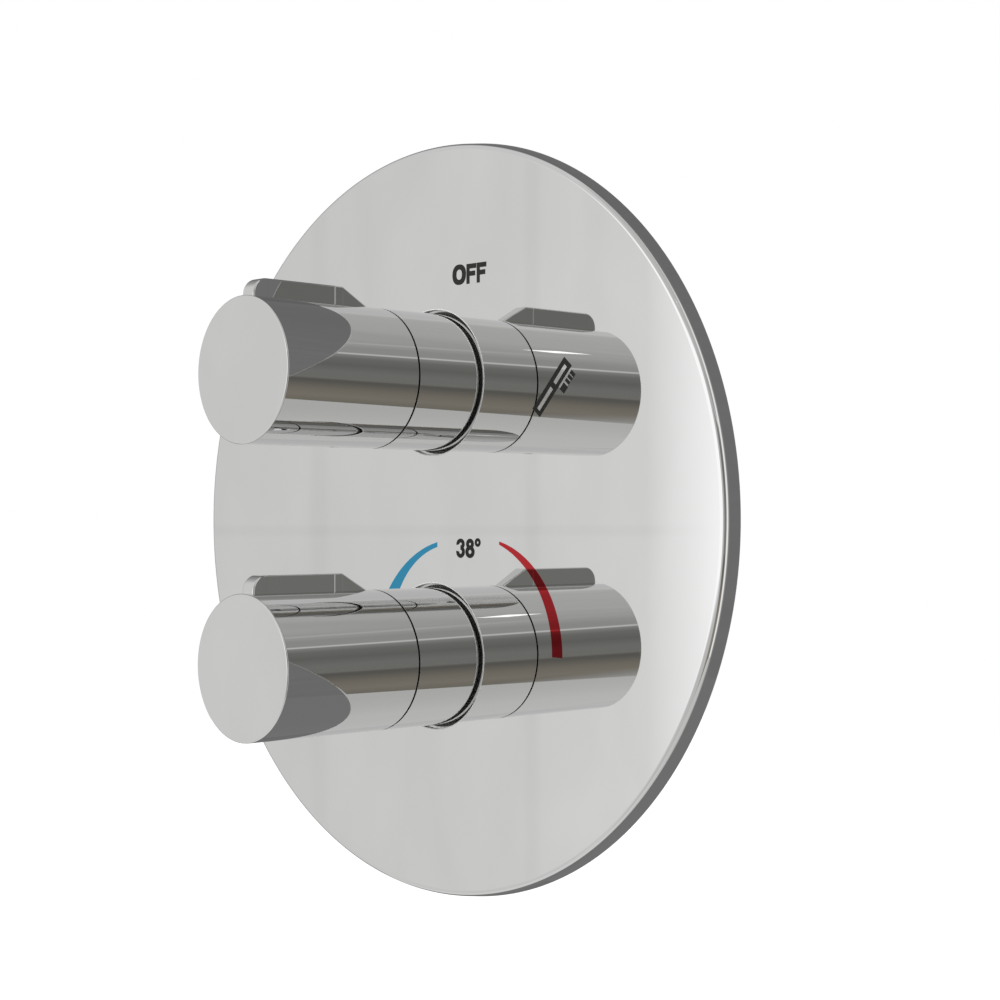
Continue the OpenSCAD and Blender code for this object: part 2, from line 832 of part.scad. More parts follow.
// Cast handle: a cup with a hub, a boss for the grub screw and the fin on top
module handle() {
    color("silver")
        difference() {
            union() {
                difference() {
                    rotate_extrude()
                        polygon([[0, handle_back_z], [handle_r, handle_back_z],
                            [handle_r, face_z - handle_bevel], [handle_r - handle_bevel, face_z],
                            [0, face_z]]);
                    rod(handle_r - handle_wall, handle_back_z - overrun, face_z - handle_front_wall);
                }
                rod(hub_r, hub_back_z, face_z - handle_front_wall / 2);
                down_at(grub_z)
                    rod(grub_boss_r, hub_bore_r, handle_r - handle_wall / 2);
                fin();
            }
            rod(hub_bore_r, hub_back_z - overrun, hub_bore_front_z);
            rod(hub_core_r, hub_back_z, hub_core_front_z);
            down_at(grub_z)
                rod(grub_hole_r, hub_bore_r / 2, handle_r + overrun);
        }
}

module flow_handle() {
    at_flow()
        handle();
}

module temp_handle() {
    at_temp()
        handle();
}

// Plastic insert that takes the spindle's spline
module spline_insert() {
    color("white")
        difference() {
            rod(insert_r, insert_back_z, insert_front_z);
            spline_bar(spline_gap, insert_back_z - overrun, insert_front_z + overrun);
            down_at(grub_z)
                rod(grub_window_r, 0, insert_r + overrun);
        }
}

module flow_spline_insert() {
    at_flow()
        spline_insert();
}

module temp_spline_insert() {
    at_temp()
        spline_insert();
}

module grub_screw() {
    color("dimgray")
        down_at(grub_z)
            difference() {
                rod(grub_r, grub_tip_at, grub_tip_at + grub_l);
                translate([0, 0, grub_tip_at + grub_l - grub_socket_l])
                    cylinder(r = grub_socket_r, h = grub_socket_l + overrun, $fn = 6);
            }
}

module flow_grub_screw() {
    at_flow()
        grub_screw();
}

module temp_grub_screw() {
    at_temp()
        grub_screw();
}

// Ring on the spline whose lug meets the neck's fixed wall at the end of the turn
module stop_ring() {
    color("white")
        difference() {
            union() {
                rod(stop_ring_r, spline_back_z, spline_back_z + stop_ring_t);
                sector(stop_lug_r, stop_ring_r - overrun, spline_back_z, spline_back_z + stop_ring_t,
                    up_a - stop_lug_half_a, 2 * stop_lug_half_a);
            }
            spline_bar(spline_gap, spline_back_z - overrun, spline_back_z + stop_ring_t + overrun);
        }
}

module flow_stop_ring() {
    at_flow()
        stop_ring();
}

module temp_stop_ring() {
    at_temp()
        stop_ring();
}

// The front half of both spindles: bearing, two seal grooves and the spline
module spindle_front(back_z) {
    difference() {
        rod(spindle_r, back_z, spline_back_z);
        groove(spindle_r, spindle_groove_r, spindle_oring_z, spindle_groove_w);
        groove(spindle_r, spindle_groove_r, spindle_oring_z - spindle_oring_pitch, spindle_groove_w);
    }
    spline_bar(0, spline_back_z - face_gap, spline_front_z);
}

// Flow spindle: ends in a driver with two tabs that turn the moving disc
module flow_spindle() {
    color("goldenrod")
        at_flow() {
            spindle_front(driver_top_z);
            rod(driver_r, driver_low_z, driver_top_z + face_gap);
            for (side = [-1, 1])
                translate([side * driver_tab_at - driver_tab_l / 2, -driver_tab_w / 2,
                        driver_low_z - driver_tab_h])
                    cube([driver_tab_l, driver_tab_w, driver_tab_h + overrun]);
        }
}

// Temperature spindle: a thrust flange and the drive thread behind it
module temp_spindle() {
    color("goldenrod")
        at_temp() {
            spindle_front(thrust_z - axial_gap);
            rod(thrust_r, thrust_low_z, thrust_z - axial_gap);
            rod(drive_thread_d / 2, drive_thread_tip_z, thrust_low_z);
        }
}

module spindle_orings() {
    color("black") {
        oring(spindle_oring_r, spindle_oring_wire_r, spindle_oring_z);
        oring(spindle_oring_r, spindle_oring_wire_r, spindle_oring_z - spindle_oring_pitch);
    }
}

module flow_spindle_orings() {
    at_flow()
        spindle_orings();
}

module temp_spindle_orings() {
    at_temp()
        spindle_orings();
}

// Moving disc: two drive slots in front, and behind a crossover that leads from the middle
module flow_moving_disc() {
    color("whitesmoke")
        at_flow()
            difference() {
                rod(disc_r, moving_low_z, moving_top_z);
                for (side = [-1, 1])
                    translate([side * driver_tab_at - driver_tab_l / 2 - disc_slot_gap,
                            -driver_tab_w / 2 - disc_slot_gap, driver_low_z - driver_tab_h - disc_slot_gap])
                        cube([driver_tab_l + 2 * disc_slot_gap, driver_tab_w + 2 * disc_slot_gap,
                            driver_tab_h + overrun]);
                rod(crossover_w / 2, moving_low_z - overrun, moving_low_z + crossover_depth);
                translate([-crossover_w / 2, 0, moving_low_z - overrun])
                    cube([crossover_w, crossover_l, crossover_depth + overrun]);
            }
}

// The way in at the middle and the two ways out beside it
module disc_ways(from, to) {
    rod(feed_r, from, to);
    holes_round(side_way_r, side_way_at, 2, from, to);
}

module flow_fixed_disc() {
    color("whitesmoke")
        at_flow()
            difference() {
                rod(fixed_disc_r, fixed_low_z, fixed_top_z);
                disc_ways(fixed_low_z - overrun, fixed_top_z + overrun);
                disc_keys(disc_slot_gap, fixed_low_z - overrun, fixed_top_z + overrun);
            }
}

// Two keys at top and bottom that keep the fixed disc from turning
module disc_keys(grow, from, to) {
    for (side = [-1, 1])
        translate([-disc_key_w / 2 - grow,
                side * (disc_recess_r - disc_key_l / 2) - disc_key_l / 2 - grow, from])
            cube([disc_key_w + 2 * grow, disc_key_l + 2 * grow, to - from]);
}

module flow_base_seal() {
    color("black")
        at_flow()
            difference() {
                rod(fixed_disc_r, base_seal_low_z, base_seal_top_z);
                disc_ways(base_seal_low_z - overrun, base_seal_top_z + overrun);
                disc_keys(disc_slot_gap, base_seal_low_z - overrun, base_seal_top_z + overrun);
            }
}

// Base of the flow cartridge: the middle way feeds the discs, the two side ways lead out.
// The left one runs round to the overhead outlet in a channel, the right one goes straight out.
module flow_cartridge_base() {
    color("white")
        at_flow()
            difference() {
                rod(flow_barrel_r, flow_base_low_z, flow_base_top_z);
                rod(feed_r, flow_base_low_z - overrun, flow_base_top_z + overrun);
                holes_round(side_way_r, side_way_at, 2, outlet_z, flow_base_top_z + overrun);
                translate([0, 0, outlet_z])
                    rotate([0, 90, 0])
                        rod(side_way_r, side_way_at, flow_barrel_r + overrun);
                translate([0, 0, outlet_z])
                    rotate([0, -90, 0])
                        rod(side_way_r, side_way_at, flow_barrel_r + overrun);
                sector(flow_barrel_r + overrun, ring_channel_r, outlet_z - ring_channel_w / 2,
                    outlet_z + ring_channel_w / 2, ring_channel_start_a, ring_channel_turn_a);
                groove(flow_barrel_r, flow_groove_r, flow_oring_z[1], barrel_groove_w);
                groove(flow_barrel_r, flow_groove_r, flow_oring_z[2], barrel_groove_w);
            }
}

// Neck with its fixed stop wall, on both cartridges
module cartridge_neck(neck_r) {
    rod(neck_r, shoulder_z, neck_reach);
    sector(neck_r - axial_gap, stop_wall_r, neck_reach - axial_gap, stop_wall_front_z,
        half_turn_a + up_a - stop_half_a, 2 * stop_half_a);
}

module flow_cartridge_body() {
    color("white")
        at_flow() {
            difference() {
                union() {
                    cartridge_neck(flow_neck_r);
                    rod(flow_barrel_r, flow_base_top_z + face_gap, shoulder_z);
                }
                rod(bearing_r, flow_roof_z - overrun, neck_reach + overrun);
                rod(driver_room_r, disc_ledge_z - overrun, flow_roof_z);
                rod(disc_recess_r, flow_base_top_z - overrun, disc_ledge_z);
                groove(flow_barrel_r, flow_groove_r, flow_oring_z[0], barrel_groove_w);
            }
            intersection() {
                disc_keys(0, base_seal_low_z, fixed_top_z - loose_gap);
                rod(disc_recess_r + fit_gap, base_seal_low_z, fixed_top_z);
            }
        }
}

module flow_cartridge_orings() {
    color("black")
        at_flow()
            for (z = flow_oring_z)
                oring((flow_groove_r + flow_chamber_r) / 2,
                    (flow_chamber_r - flow_groove_r) / 2 - fit_gap, z);
}

// Brass nut that holds a cartridge in the body and carries the sleeve on its skirt
module cartridge_nut(mouth_r, neck_r) {
    color("goldenrod")
        difference() {
            union() {
                rod(mouth_r - loose_gap, shoulder_z + loose_gap, -body_setback);
                rod(handle_r - loose_gap, -body_setback + face_gap / 2, nut_flange_z);
                rod(nut_skirt_r, -body_setback, nut_skirt_front_z);
            }
            rod(neck_r + loose_gap, shoulder_z - overrun, nut_skirt_front_z + overrun);
            rod(nut_skirt_r - nut_skirt_wall, nut_flange_z, nut_skirt_front_z + overrun);
            groove(nut_skirt_r, sleeve_groove_r, sleeve_oring_z, sleeve_groove_w);
        }
}

module flow_cartridge_nut() {
    at_flow()
        cartridge_nut(flow_mouth_r, flow_neck_r);
}

module temp_cartridge_nut() {
    at_temp()
        cartridge_nut(temp_mouth_r, temp_neck_r);
}

// Thermostatic cartridge body: drive room with two keyways in front, mixing chamber behind
module temp_cartridge_body() {
    color("goldenrod")
        at_temp()
            difference() {
                union() {
                    cartridge_neck(temp_neck_r);
                    rod(temp_barrel_r, temp_barrel_low_z, shoulder_z);
                }
                rod(bearing_r, thrust_z - overrun, neck_reach + overrun);
                rod(drive_room_r, hot_seat_z - overrun, thrust_z);
                drive_keys(2 * loose_gap, hot_seat_z - overrun, drive_nut_top_z + drive_travel + axial_gap);
                rod(mix_r, temp_barrel_low_z - overrun, hot_seat_z);
                windows_round(window_r, temp_barrel_r + overrun, windows, shuttle_mid_z + port_offset);
                windows_round(window_r, temp_barrel_r + overrun, windows, shuttle_mid_z - port_offset);
                for (z = temp_oring_z)
                    groove(temp_barrel_r, temp_groove_r, z, barrel_groove_w);
            }
}

// Two keys at right and left that let the drive nut slide but not turn
module drive_keys(grow, from, to) {
    translate([-drive_key_r - grow, -drive_key_w / 2 - grow, from])
        cube([2 * (drive_key_r + grow), drive_key_w + 2 * grow, to - from]);
}

module temp_cartridge_orings() {
    color("black")
        at_temp()
            for (z = temp_oring_z)
                oring((temp_groove_r + temp_chamber_r) / 2,
                    (temp_chamber_r - temp_groove_r) / 2 - fit_gap, z);
}

// Screwed into the cartridge from behind: the cold seat, and the return spring's seat
module temp_cartridge_base() {
    color("goldenrod")
        at_temp()
            difference() {
                rod(mix_r - loose_gap, temp_barrel_low_z, cold_seat_z);
                rod(temp_base_bore_r, return_seat_z, cold_seat_z + overrun);
                rod(temp_base_hole_r, temp_barrel_low_z - overrun, return_seat_z + overrun);
                holes_round(temp_base_way_r, (temp_base_hole_r + temp_base_bore_r) / 2, temp_base_ways,
                    temp_barrel_low_z - overrun, return_seat_z + overrun);
            }
}

// Nut that the drive thread moves in and out; the overload spring sits in its cup
module temp_drive_nut() {
    color("goldenrod")
        at_temp()
            difference() {
                union() {
                    rod(drive_nut_d / 2, drive_nut_low_z, drive_nut_top_z);
                    drive_keys(0, drive_nut_low_z, drive_nut_top_z);
                }
                rod(drive_thread_d / 2 + run_gap, drive_nut_low_z, drive_nut_top_z + overrun);
                rod(drive_nut_bore_r, drive_nut_low_z - overrun, drive_nut_top_z - drive_nut_wall);
                rod(retainer_r + loose_gap, retainer_top_z - retainer_t - loose_gap,
                    retainer_top_z + loose_gap / 2);
            }
}

module overload_spring() {
    color("lightsteelblue")
        at_temp()
            coil(overload_coil_r, overload_wire_r, overload_turns, overload_low_z + face_gap,
                overload_top_z);
}

module overload_plunger() {
    color("goldenrod")
        at_temp() {
            rod(plunger_r, plunger_low_z, overload_low_z);
            rod(plunger_pin_r, plunger_low_z - plunger_pin_l, plunger_low_z + face_gap);
        }
}

module overload_retaining_ring() {
    color("lightsteelblue")
        at_temp()
            ring(retainer_r, retainer_bore_r, retainer_top_z - retainer_t, retainer_top_z);
}

// Pin that the warm wax pushes out of the element against the plunger
module wax_piston() {
    color("silver")
        at_temp()
            rod(wax_piston_r, wax_top_z - wax_piston_l, wax_top_z);
}

// Wax element: guide, flange and bulb, with the bore that the piston slides in
module wax_element() {
    color("peru")
        at_temp()
            difference() {
                union() {
                    rod(wax_guide_r, wax_flange_low_z, wax_top_z - wax_neck_l);
                    rod(wax_flange_r, wax_flange_low_z, wax_flange_low_z + wax_flange_t);
                    rod(wax_bulb_d / 2, wax_bulb_low_z, wax_flange_low_z + face_gap);
                }
                rod(wax_piston_r + run_gap, wax_top_z - wax_piston_l - wax_piston_room, wax_top_z);
            }
}

// Sliding shuttle: its two ends open and close the gaps at the hot and the cold seat
module mixing_shuttle() {
    color("silver")
        at_temp()
            difference() {
                union() {
                    rod(shuttle_r, shuttle_low_z, shuttle_top_z);
                    rod(shuttle_land_r, shuttle_mid_z - shuttle_land_l / 2,
                        shuttle_mid_z + shuttle_land_l / 2);
                }
                rod(shuttle_r - shuttle_wall, shuttle_web_z, shuttle_top_z + overrun);
                rod(shuttle_r - shuttle_wall, shuttle_low_z - overrun, shuttle_web_z - shuttle_web_t);
                rod(shuttle_hub_r, shuttle_low_z, shuttle_top_z);
                holes_round(shuttle_way_r, shuttle_way_at, shuttle_ways,
                    shuttle_web_z - shuttle_web_t - overrun, shuttle_web_z + overrun);
                groove(shuttle_land_r, shuttle_groove_r, shuttle_mid_z, shuttle_groove_w);
            }
}

module shuttle_oring() {
    color("black")
        at_temp()
            oring(shuttle_oring_r, shuttle_oring_wire_r, shuttle_mid_z);
}

module return_spring() {
    color("lightsteelblue")
        at_temp()
            coil(return_coil_r, return_wire_d / 2, return_turns, return_seat_z + face_gap,
                return_top_z - face_gap);
}

// A lug on the body with a hole for a wall screw, joined to the boss beside it
module lug(x, y, boss_y) {
    translate([0, boss_y, body_back_z])
        rotate([0, 0, atan2(y - boss_y, x)]) {
            translate([norm([x, y - boss_y]), 0, 0])
                cylinder(d = lug_d, h = lug_t);
            translate([0, -lug_arm_w / 2, 0])
                cube([norm([x, y - boss_y]), lug_arm_w, lug_t]);
        }
}

module body_outside() {
    at_flow()
        rod(flow_boss_r, body_back_z, -body_setback);
    at_temp()
        rod(temp_boss_r, body_back_z, -body_setback);
    out_of_wall() {
        translate([-bridge_w / 2, -handle_pitch / 2, body_back_z])
            cube([bridge_w, handle_pitch, bridge_front_z - body_back_z]);
        for (side = [-1, 1])
            for (end = [-1, 1])
                lug(side * fixing_x / 2, end * fixing_z / 2, end * handle_pitch / 2);
    }
    at_hot_port()
        rod(port_boss_d / 2, 0, inlet_boss_at);
    at_cold_port()
        rod(port_boss_d / 2, 0, inlet_boss_at);
    at_overhead_port()
        rod(port_boss_d / 2, 0, outlet_boss_at);
    at_handset_port()
        rod(port_boss_d / 2, 0, outlet_boss_at);
    translate([0, gallery_depth, 0])
        rod(plug_boss_r, -handle_pitch / 2 - plug_boss_at, 0);
}

// Seat of a check valve, its pocket and the socket of the union outside it
module inlet_cuts(way_y) {
    translate([0, way_y, 0])
        rod(inlet_way_r, temp_chamber_r, check_at);
    rod(check_pocket_r, check_at - check_pocket_l, check_at + overrun);
    rod(check_socket_r, check_at, inlet_boss_at);
    rod(union_socket_r, inlet_root_at - face_gap, inlet_boss_at + overrun);
}

module outlet_cuts() {
    rod(port_way_r, flow_chamber_r - overrun, outlet_boss_at);
    rod(union_socket_r, outlet_root_at - face_gap, outlet_boss_at + overrun);
}

// Cast and machined brass body: two chambers, the way for mixed water between them and four ports
module valve_body() {
    color("goldenrod")
        difference() {
            body_outside();
            at_flow() {
                rod(flow_mouth_r, shoulder_z, overrun - body_setback);
                rod(flow_chamber_r, flow_floor_z, shoulder_z + overrun);
                rod(sump_r, floor_z - sump_depth, flow_floor_z + overrun);
            }
            at_temp() {
                rod(temp_mouth_r, shoulder_z, overrun - body_setback);
                rod(temp_chamber_r, temp_floor_z, shoulder_z + overrun);
                rod(sump_r, floor_z - sump_depth, temp_floor_z + overrun);
                for (side = [-1, 1])
                    rod(water_groove_r, shuttle_mid_z + side * port_offset - water_groove_w / 2,
                        shuttle_mid_z + side * port_offset + water_groove_w / 2);
            }
            at_hot_port()
                inlet_cuts(-port_offset);
            at_cold_port()
                inlet_cuts(port_offset);
            at_overhead_port()
                outlet_cuts();
            at_handset_port()
                outlet_cuts();
            translate([0, gallery_depth, 0]) {
                rod(gallery_r, -handle_pitch / 2 - plug_boss_at + plug_l / 2, handle_pitch / 2);
                rod(plug_r + fit_gap, -handle_pitch / 2 - plug_boss_at - overrun,
                    -handle_pitch / 2 - plug_boss_at + plug_l);
            }
            out_of_wall()
                for (side = [-1, 1])
                    for (end = [-1, 1])
                        translate([side * fixing_x / 2, end * fixing_z / 2, body_back_z - overrun])
                            cylinder(d = fixing_d, h = lug_t + 2 * overrun);
        }
}

// Plug with a hexagon socket that closes the drilled way under the body
module gallery_plug() {
    mouth = -handle_pitch / 2 - plug_boss_at;
    color("goldenrod")
        translate([0, gallery_depth, 0])
            difference() {
                union() {
                    rod(plug_r, mouth, mouth + plug_l - loose_gap);
                    rod(plug_boss_r, mouth - plug_head_h, mouth - face_gap);
                    rod(plug_r, mouth - plug_head_h, mouth + face_gap);
                }
                translate([0, 0, mouth - plug_head_h - overrun])
                    cylinder(r = plug_socket_r, h = plug_socket_l + overrun, $fn = 6);
            }
}

// Union screwed into a port boss; a pipe screws into its outer end
module port_union(root_at, boss_at) {
    barrel_at = boss_at + face_gap + union_hex_h;
    end_at = barrel_at + union_tail_l;
    color("goldenrod")
        difference() {
            union() {
                rod(union_root_r, root_at, boss_at + union_hex_h);
                translate([0, 0, boss_at + face_gap])
                    cylinder(r = union_hex_w / 2 / cos(30), h = union_hex_h, $fn = 6);
                rod(union_barrel_d / 2, boss_at + union_hex_h, end_at);
            }
            rod(union_way_d / 2, root_at - overrun, end_at);
            rod(port_bore_d / 2, end_at - port_thread_l, end_at + overrun);
            groove(union_root_r, union_groove_r, boss_at - union_groove_w, union_groove_w);
        }
}

module hot_inlet_union() {
    at_hot_port()
        port_union(inlet_root_at, inlet_boss_at);
}

module cold_inlet_union() {
    at_cold_port()
        port_union(inlet_root_at, inlet_boss_at);
}

module overhead_outlet_union() {
    at_overhead_port()
        port_union(outlet_root_at, outlet_boss_at);
}

module handset_outlet_union() {
    at_handset_port()
        port_union(outlet_root_at, outlet_boss_at);
}

module union_orings() {
    color("black") {
        at_hot_port()
            oring(union_oring_r, union_oring_wire_r, inlet_boss_at - union_groove_w);
        at_cold_port()
            oring(union_oring_r, union_oring_wire_r, inlet_boss_at - union_groove_w);
        at_overhead_port()
            oring(union_oring_r, union_oring_wire_r, outlet_boss_at - union_groove_w);
        at_handset_port()
            oring(union_oring_r, union_oring_wire_r, outlet_boss_at - union_groove_w);
    }
}

// Check valves are drawn from the pipe inwards, so that z grows towards the chamber
module check_frame() {
    translate([0, 0, check_at + check_l])
        mirror([0, 0, 1])
            children();
}

// Housing with its seat at the pipe's end and a spider that guides the poppet
module check_housing() {
    color("white")
        check_frame()
            difference() {
                rod(check_r, 0, check_l - face_gap);
                rod(check_seat_r, -overrun, check_seat_t + overrun);
                difference() {
                    rod(check_room_r, check_seat_t, check_l + overrun);
                    translate([0, 0, check_l - check_spider_t]) {
                        cylinder(r = check_hub_r, h = check_spider_t);
                        for (i = [0 : 2])
                            rotate([0, 0, i * 120])
                                translate([0, -check_arm_w / 2, 0])
                                    cube([check_room_r + overrun, check_arm_w, check_spider_t]);
                    }
                }
                rod(check_stem_r + run_gap, check_seat_t, check_l + overrun);
                groove(check_r, check_groove_r, check_l / 2, check_groove_w);
            }
}

module check_poppet() {
    color("lightgray")
        check_frame() {
            rod(poppet_r, poppet_top, poppet_top + poppet_t);
            rod(check_stem_r, poppet_top, stem_end);
        }
}

module check_spring() {
    color("lightsteelblue")
        check_frame()
            coil(check_coil_r, check_wire_r, check_turns, poppet_top + poppet_t + face_gap,
                check_l - check_spider_t - face_gap);
}

module hot_check_housing() {
    at_hot_port()
        check_housing();
}

module cold_check_housing() {
    at_cold_port()
        check_housing();
}

module hot_check_poppet() {
    at_hot_port()
        check_poppet();
}

module cold_check_poppet() {
    at_cold_port()
        check_poppet();
}

module hot_check_spring() {
    at_hot_port()
        check_spring();
}

module cold_check_spring() {
    at_cold_port()
        check_spring();
}

module check_housing_orings() {
    color("black") {
        at_hot_port()
            check_frame()
                oring(check_oring_r, check_oring_wire_r, check_l / 2);
        at_cold_port()
            check_frame()
                oring(check_oring_r, check_oring_wire_r, check_l / 2);
    }
}

// Perforated disc between the check valve and the union
module strainer() {
    low = check_at + check_l + face_gap;
    color("lightsteelblue")
        difference() {
            rod(check_r, low, low + strainer_t);
            rod(strainer_hole_r, low - overrun, low + strainer_t + overrun);
            for (k = [1 : strainer_rings])
                holes_round(strainer_hole_r, k * strainer_ring_at, 6 * k, low - overrun,
                    low + strainer_t + overrun);
        }
}

module hot_strainer() {
    at_hot_port()
        strainer();
}

module cold_strainer() {
    at_cold_port()
        strainer();
}

faceplate();
plate_gasket();
flow_seal_ring();
temp_seal_ring();
flow_sleeve();
temp_sleeve();
sleeve_orings();
flow_handle();
temp_handle();
flow_spline_insert();
temp_spline_insert();
flow_grub_screw();
temp_grub_screw();
flow_stop_ring();
temp_stop_ring();
flow_spindle();
temp_spindle();
flow_spindle_orings();
temp_spindle_orings();
flow_moving_disc();
flow_fixed_disc();
flow_base_seal();
flow_cartridge_base();
flow_cartridge_body();
flow_cartridge_orings();
flow_cartridge_nut();
temp_cartridge_body();
temp_cartridge_base();
temp_cartridge_orings();
temp_cartridge_nut();
temp_drive_nut();
overload_spring();
overload_plunger();
overload_retaining_ring();
wax_piston();
wax_element();
mixing_shuttle();
shuttle_oring();
return_spring();
valve_body();
gallery_plug();
hot_inlet_union();
cold_inlet_union();
overhead_outlet_union();
handset_outlet_union();
union_orings();
hot_check_housing();
cold_check_housing();
hot_check_poppet();
cold_check_poppet();
hot_check_spring();
cold_check_spring();
check_housing_orings();
hot_strainer();
cold_strainer();
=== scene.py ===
"""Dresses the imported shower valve: polished faceplate, sleeves and handles, printed marks, brass and plastic works.

All lengths of pieces are millimetres and are turned into metres when a mesh is made. The frame has x to the right,
y into the wall and z up, so a depth of d millimetres out of the wall lies at y = -d / 1000. The camera and the lamps
are placed in metres.
"""

import json
import logging
import math
from collections.abc import Sequence
from dataclasses import dataclass, replace
from enum import Enum

import bmesh
import bpy
import numpy as np
from mathutils import Matrix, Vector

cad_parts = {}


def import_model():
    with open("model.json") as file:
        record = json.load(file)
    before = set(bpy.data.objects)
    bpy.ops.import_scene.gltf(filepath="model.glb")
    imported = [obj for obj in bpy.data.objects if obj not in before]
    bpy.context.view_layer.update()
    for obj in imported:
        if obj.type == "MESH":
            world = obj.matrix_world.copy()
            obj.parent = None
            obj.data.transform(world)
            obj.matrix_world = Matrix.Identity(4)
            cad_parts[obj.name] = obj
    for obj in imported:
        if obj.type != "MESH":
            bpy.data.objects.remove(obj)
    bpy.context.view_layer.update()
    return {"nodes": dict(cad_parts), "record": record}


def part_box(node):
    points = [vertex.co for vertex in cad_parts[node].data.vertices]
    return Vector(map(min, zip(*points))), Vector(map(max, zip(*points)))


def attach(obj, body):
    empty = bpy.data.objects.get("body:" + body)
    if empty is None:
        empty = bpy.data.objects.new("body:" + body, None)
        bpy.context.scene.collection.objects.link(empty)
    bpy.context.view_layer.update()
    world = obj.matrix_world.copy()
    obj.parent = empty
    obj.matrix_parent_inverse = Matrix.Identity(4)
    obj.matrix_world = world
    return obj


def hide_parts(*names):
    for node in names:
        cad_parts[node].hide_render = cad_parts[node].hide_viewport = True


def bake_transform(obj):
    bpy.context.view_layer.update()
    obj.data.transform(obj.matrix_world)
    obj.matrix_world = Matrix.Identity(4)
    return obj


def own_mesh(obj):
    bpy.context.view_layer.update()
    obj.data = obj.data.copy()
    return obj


MM = 0.001
SMOOTH_ANGLE = math.radians(32)
WELD = 3.7e-7
TINY = 1e-9
NEAR = 1e-6
SHARPEST = 1e-3
RING_POINTS = 72
BOW_POINTS = 48
STRIP_SHARES = (0.0, 0.002, 0.1, 0.3, 0.6, 0.9, 0.998, 1.0)
UP = (0.0, 0.0, 1.0)
WHITE = (1.0, 1.0, 1.0)
LOG = logging.getLogger("shower_valve")

Array = np.ndarray
Colour = tuple[float, float, float]
Place = tuple[float, float, float]
Span = tuple[float, float, float, float]
Stops = tuple[tuple[float, Colour], ...]
Socket = bpy.types.NodeSocket


class Body(Enum):
    """The moving bodies that the made pieces ride on."""

    VALVE = "valve"
    FLOW = "flow_control"
    TEMPERATURE = "temperature_control"
    DRIVE = "drive_carriage"
    MIXING = "mixing_carriage"


class Slot(Enum):
    """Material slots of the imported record."""

    CHROME = "polished_chrome"
    RUBBER = "black_rubber"
    FOAM = "foam_gasket"
    CAST_BRASS = "cast_brass"
    TURNED_BRASS = "turned_brass"
    ACETAL = "white_acetal"
    BLUE_GREY = "blue_grey_plastic"
    CERAMIC = "alumina"
    STAINLESS = "stainless_steel"
    DARK_STEEL = "dark_steel"
    COPPER = "copper"


class Axis(Enum):
    """Direction along which a lathe left its rings."""

    X = (1.0, 0.0, 0.0)
    Y = (0.0, 1.0, 0.0)
    Z = (0.0, 0.0, 1.0)


# Surfaces


@dataclass
class Surface:
    """A surface as points in millimetres (x, y, z) and triangles of their numbers."""

    points: Array
    triangles: Array

    @classmethod
    def grid(cls, points: Array, wrap_rows: bool = False, wrap_columns: bool = False) -> "Surface":
        """Splits each cell of a grid of points into two triangles.

        Args:
            points: rows by columns by 3 array.
            wrap_rows: joins the last row to the first.
            wrap_columns: joins the last column to the first.

        Returns:
            The surface through the grid's points.
        """
        return cls(points.reshape(-1, 3), grid_triangles(points.shape[0], points.shape[1], wrap_rows, wrap_columns))

    @classmethod
    def tube(cls, sections: Array) -> "Surface":
        """Joins closed sections in a row, and closes the first and the last with a fan of triangles.

        Args:
            sections: rows by corners by 3 array.

        Returns:
            The closed tube.
        """
        side = cls.grid(sections, wrap_columns=True)
        rows, corners_round = sections.shape[:2]
        fan, last = np.arange(1, corners_round - 1), corners_round * (rows - 1)
        caps = [np.column_stack([0 * fan, fan, fan + 1]), last + np.column_stack([0 * fan, fan + 1, fan])]
        return cls(side.points, np.vstack([side.triangles, *caps]))

    @classmethod
    def joined(cls, parts: Sequence["Surface"]) -> "Surface":
        """Puts several surfaces into one list of points and triangles."""
        starts = np.cumsum([0] + [len(part.points) for part in parts[:-1]])
        triangles = [part.triangles + start for part, start in zip(parts, starts)]
        return cls(np.vstack([part.points for part in parts]), np.vstack(triangles))

    def raised(self, height: float) -> "Surface":
        """Shifts the surface up."""
        return Surface(self.points + np.array([0.0, 0.0, height]), self.triangles)

    def slanted(self, origin: tuple[float, float], along: Array, across: Array) -> "Surface":
        """Lays the surface's x and z along two directions in the plane of the wall, from an origin."""
        x, z = self.points[:, :1], self.points[:, 2:]
        place = np.array(origin) + x * along + z * across
        return Surface(np.column_stack([place[:, 0], self.points[:, 1], place[:, 1]]), self.triangles)

    def mirrored_down(self) -> "Surface":
        """Turns the surface upside down about the plate's centre line."""
        return Surface(self.points * np.array([1.0, 1.0, -1.0]), self.triangles[:, ::-1])

    def welded(self) -> "Surface":
        """Merges points that coincide and drops the triangles that collapse and the points that none uses."""
        keys = np.round(self.points * MM / WELD).astype(np.int64)
        _, first, inverse = np.unique(keys, axis=0, return_index=True, return_inverse=True)
        triangles = inverse.reshape(-1)[self.triangles]
        a, b, c = triangles.T
        used, renumbered = np.unique(triangles[(a != b) & (b != c) & (c != a)], return_inverse=True)
        return Surface(self.points[first][used], renumbered.reshape(-1, 3))

    def to_object(self, name: str) -> bpy.types.Object:
        """Makes a Blender object at the origin with outward faces, smooth but for its sharp edges.

        Args:
            name: the piece's name.

        Returns:
            The linked object.
        """
        whole = self.welded()
        mesh = bpy.data.meshes.new(name)
        mesh.from_pydata((whole.points * MM).tolist(), [], whole.triangles.tolist())
        shell = bmesh.new()
        shell.from_mesh(mesh)
        bmesh.ops.recalc_face_normals(shell, faces=shell.faces)
        shell.to_mesh(mesh)
        shell.free()
        mesh.polygons.foreach_set("use_smooth", np.ones(len(mesh.polygons), bool))
        mesh.set_sharp_from_angle(angle=SMOOTH_ANGLE)
        mesh.update()
        piece = bpy.data.objects.new(name, mesh)
        bpy.context.scene.collection.objects.link(piece)
        return piece


